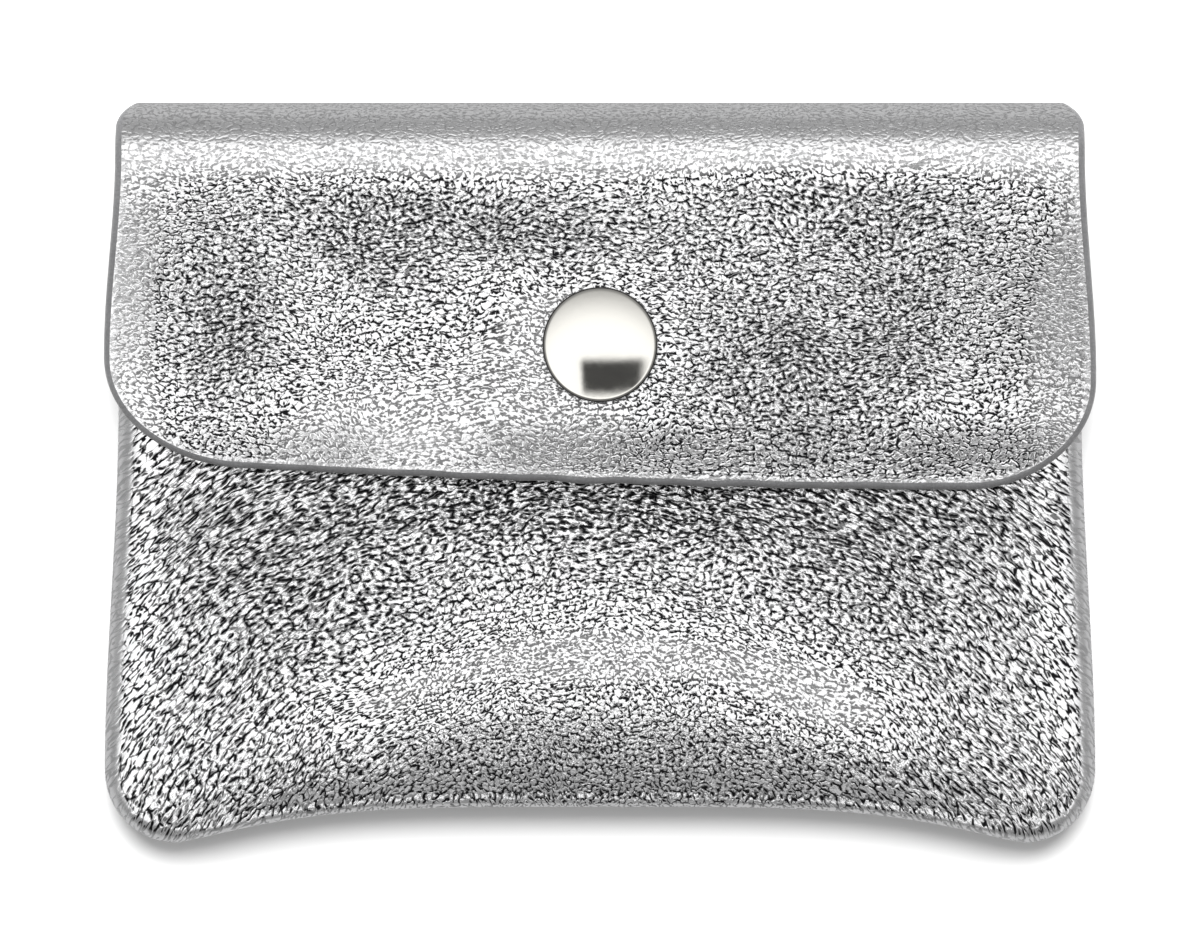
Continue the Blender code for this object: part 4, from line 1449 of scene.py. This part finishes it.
# %% Draw the studio into the world
softbox_light, wall_light, room_light, ground_light = 1.42, 0.37, 0.25, 0.58
light_width, light_length = 1.3, 1.1  # half sizes of the overhead light, as shares of its height
light_shift = -0.43  # how far its middle lies towards the wallet's bottom, the same way
light_core, light_rim = 0.6, 1.4  # where its soft edge starts and ends, as shares of its half size
light_end, light_stop = -1.45, -1.1  # where it is cut off towards the wallet's bottom
room_from, wall_from = -0.75, -0.3  # from where to where the room turns into the walls, along Y
horizon, below = 0.15, -0.1  # from where to where the walls turn into the ground, along Z
panel_shade = 0.05
panel_sides = (("X", 0.8, 0.54), ("X", -0.3, -0.22), ("Y", -0.84, -0.62), ("Y", -0.12, -0.26))


def draw_panel(tree, spans):
    """The light left by a dark panel with soft sides, each given by where it starts and where it is full."""
    panel = None
    for axis, start, full in panel_sides:
        side = add_node(tree, "ShaderNodeMapRange", (spans[axis], start, full),
                        interpolation_type="SMOOTHSTEP")
        panel = add_node(tree, "ShaderNodeMath", (panel, side), operation="MULTIPLY") if panel else side
    return add_node(tree, "ShaderNodeMapRange", (panel, 0.0, 1.0, 1.0, panel_shade))


def light_world():
    world = bpy.data.worlds.new("studio")
    bpy.context.scene.world = world
    world.use_nodes = True
    tree = world.node_tree
    axes = add_node(tree, "ShaderNodeTexCoord").outputs["Generated"]
    axes = add_node(tree, "ShaderNodeSeparateXYZ", (axes,)).outputs
    height = add_node(tree, "ShaderNodeMath", (axes["Z"], 0.05), operation="MAXIMUM")
    spans = {axis: add_node(tree, "ShaderNodeMath", (axes[axis], height), operation="DIVIDE")
             for axis in "XY"}
    walls = add_node(tree, "ShaderNodeMapRange", (axes["Y"], room_from, wall_from, room_light, wall_light),
                     interpolation_type="SMOOTHSTEP")
    walls = add_node(tree, "ShaderNodeMapRange", (axes["Z"], horizon, below, walls, ground_light),
                     interpolation_type="SMOOTHSTEP")
    place = add_node(tree, "ShaderNodeCombineXYZ", (spans["X"], spans["Y"], 0.0))
    place = add_node(tree, "ShaderNodeVectorMath", (place, (0, -light_shift, 0)))
    place = fit_pattern(tree, place, light_width, light_length)
    reach = add_node(tree, "ShaderNodeVectorMath", (place,), operation="LENGTH").outputs["Value"]
    light = add_node(tree, "ShaderNodeMapRange", (reach, light_core, light_rim, softbox_light, walls),
                     interpolation_type="SMOOTHSTEP")
    light = add_node(tree, "ShaderNodeMapRange", (spans["Y"], light_end, light_stop, walls, light),
                     interpolation_type="SMOOTHSTEP")
    strength = add_node(tree, "ShaderNodeMath", (light, draw_panel(tree, spans)), operation="MULTIPLY")
    fill_sockets(tree, tree.nodes["Background"], {"Color": linear("#ffffff"), "Strength": strength})
    return world


studio = light_world()
print("studio:", len(studio.node_tree.nodes), "nodes")

# %% [markdown]
# ## Lamp and camera
#
# The camera looks straight down with a long lens, as in the photograph, so the wallet's sides don't show
# and nothing is drawn wider near the lens. Its height follows from the lens and from the real width of a
# photograph's pixel.

# %% Hang the lamp and set up the camera
lamp_y, lamp_z, lamp_size, lamp_power = 0.4, 0.5, 0.75, 19.0  # metres and watts
photo_width, mm_per_pixel = 1200, 0.1096
lens, sensor = 250, 36  # mm
view_y, view_z = 0.2 * mm, 5 * mm  # the middle of the view, and the height at which a pixel has that width


def hang_lamp():
    bpy.ops.object.light_add(type="AREA", location=(0, lamp_y, lamp_z))
    lamp = bpy.context.object
    lamp.name = "soft_lamp"
    lamp.rotation_euler = (-math.atan2(lamp_y, lamp_z), 0, 0)
    lamp.data.shape = "DISK"
    lamp.data.size = lamp_size
    lamp.data.energy = lamp_power
    lamp.visible_glossy = False


def set_up_camera():
    camera = bpy.data.objects.new("camera", bpy.data.cameras.new("camera"))
    bpy.context.scene.collection.objects.link(camera)
    camera.data.lens = lens
    camera.data.sensor_width = sensor
    camera.data.clip_start = 10 * mm
    camera.location = (0, view_y, view_z + photo_width * mm_per_pixel * mm * lens / sensor)
    bpy.context.scene.camera = camera
    bpy.context.scene.view_settings.view_transform = "Standard"
    return camera


hang_lamp()
camera = set_up_camera()
print("camera", round(camera.location.z, 3), "m up")

# %% [markdown]
# ## What moves with what
#
# The pouch's pieces ride on the pouch and the flap's on the flap. The fold's three lengths ride on no body
# and are only baked in place; their table lists the two bodies that each lies between and its hinge angle.
# The tables also list the plain solid that each piece stands for, which is hidden, and for the riding
# pieces the record's finish that each has.

# %% Say what rides on what
rides = (
    (front_leather, "front_panel", "pouch", "silver_leather"),
    (back_leather, "back_panel", "pouch", "silver_leather"),
    (flap_leather, "flap_panel", "flap", "silver_leather"),
    (domed_cap, "cap_shell", "flap", "polished_nickel"),
    (eyelet_post, "cap_post", "flap", "satin_nickel"),
    (snap_socket, "socket_body", "flap", "satin_nickel"),
    (snap_stud, "stud", "pouch", "satin_nickel"),
    (stud_rivet, "stud_post", "pouch", "satin_nickel"),
    (wire_spring, "socket_spring", "flap", "spring_wire"),
    (needle_thread, "seam_needle_thread", "pouch", "sewing_thread"),
    (bobbin_thread, "seam_bobbin_thread", "pouch", "sewing_thread"),
)
folds = (
    ("fold_lower", "pouch", "lower_fold", -60),
    ("fold_lower", "lower_fold", "upper_fold", 0),
    ("fold_upper", "upper_fold", "flap", 60),
)
for piece, node, body, slot in rides:
    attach(piece, body)
    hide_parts(node)
for piece, (node, body_a, body_b, angle) in zip(fold_lengths, folds):
    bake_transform(piece)
    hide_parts(node)
print("pieces:", len(rides) + len(folds))
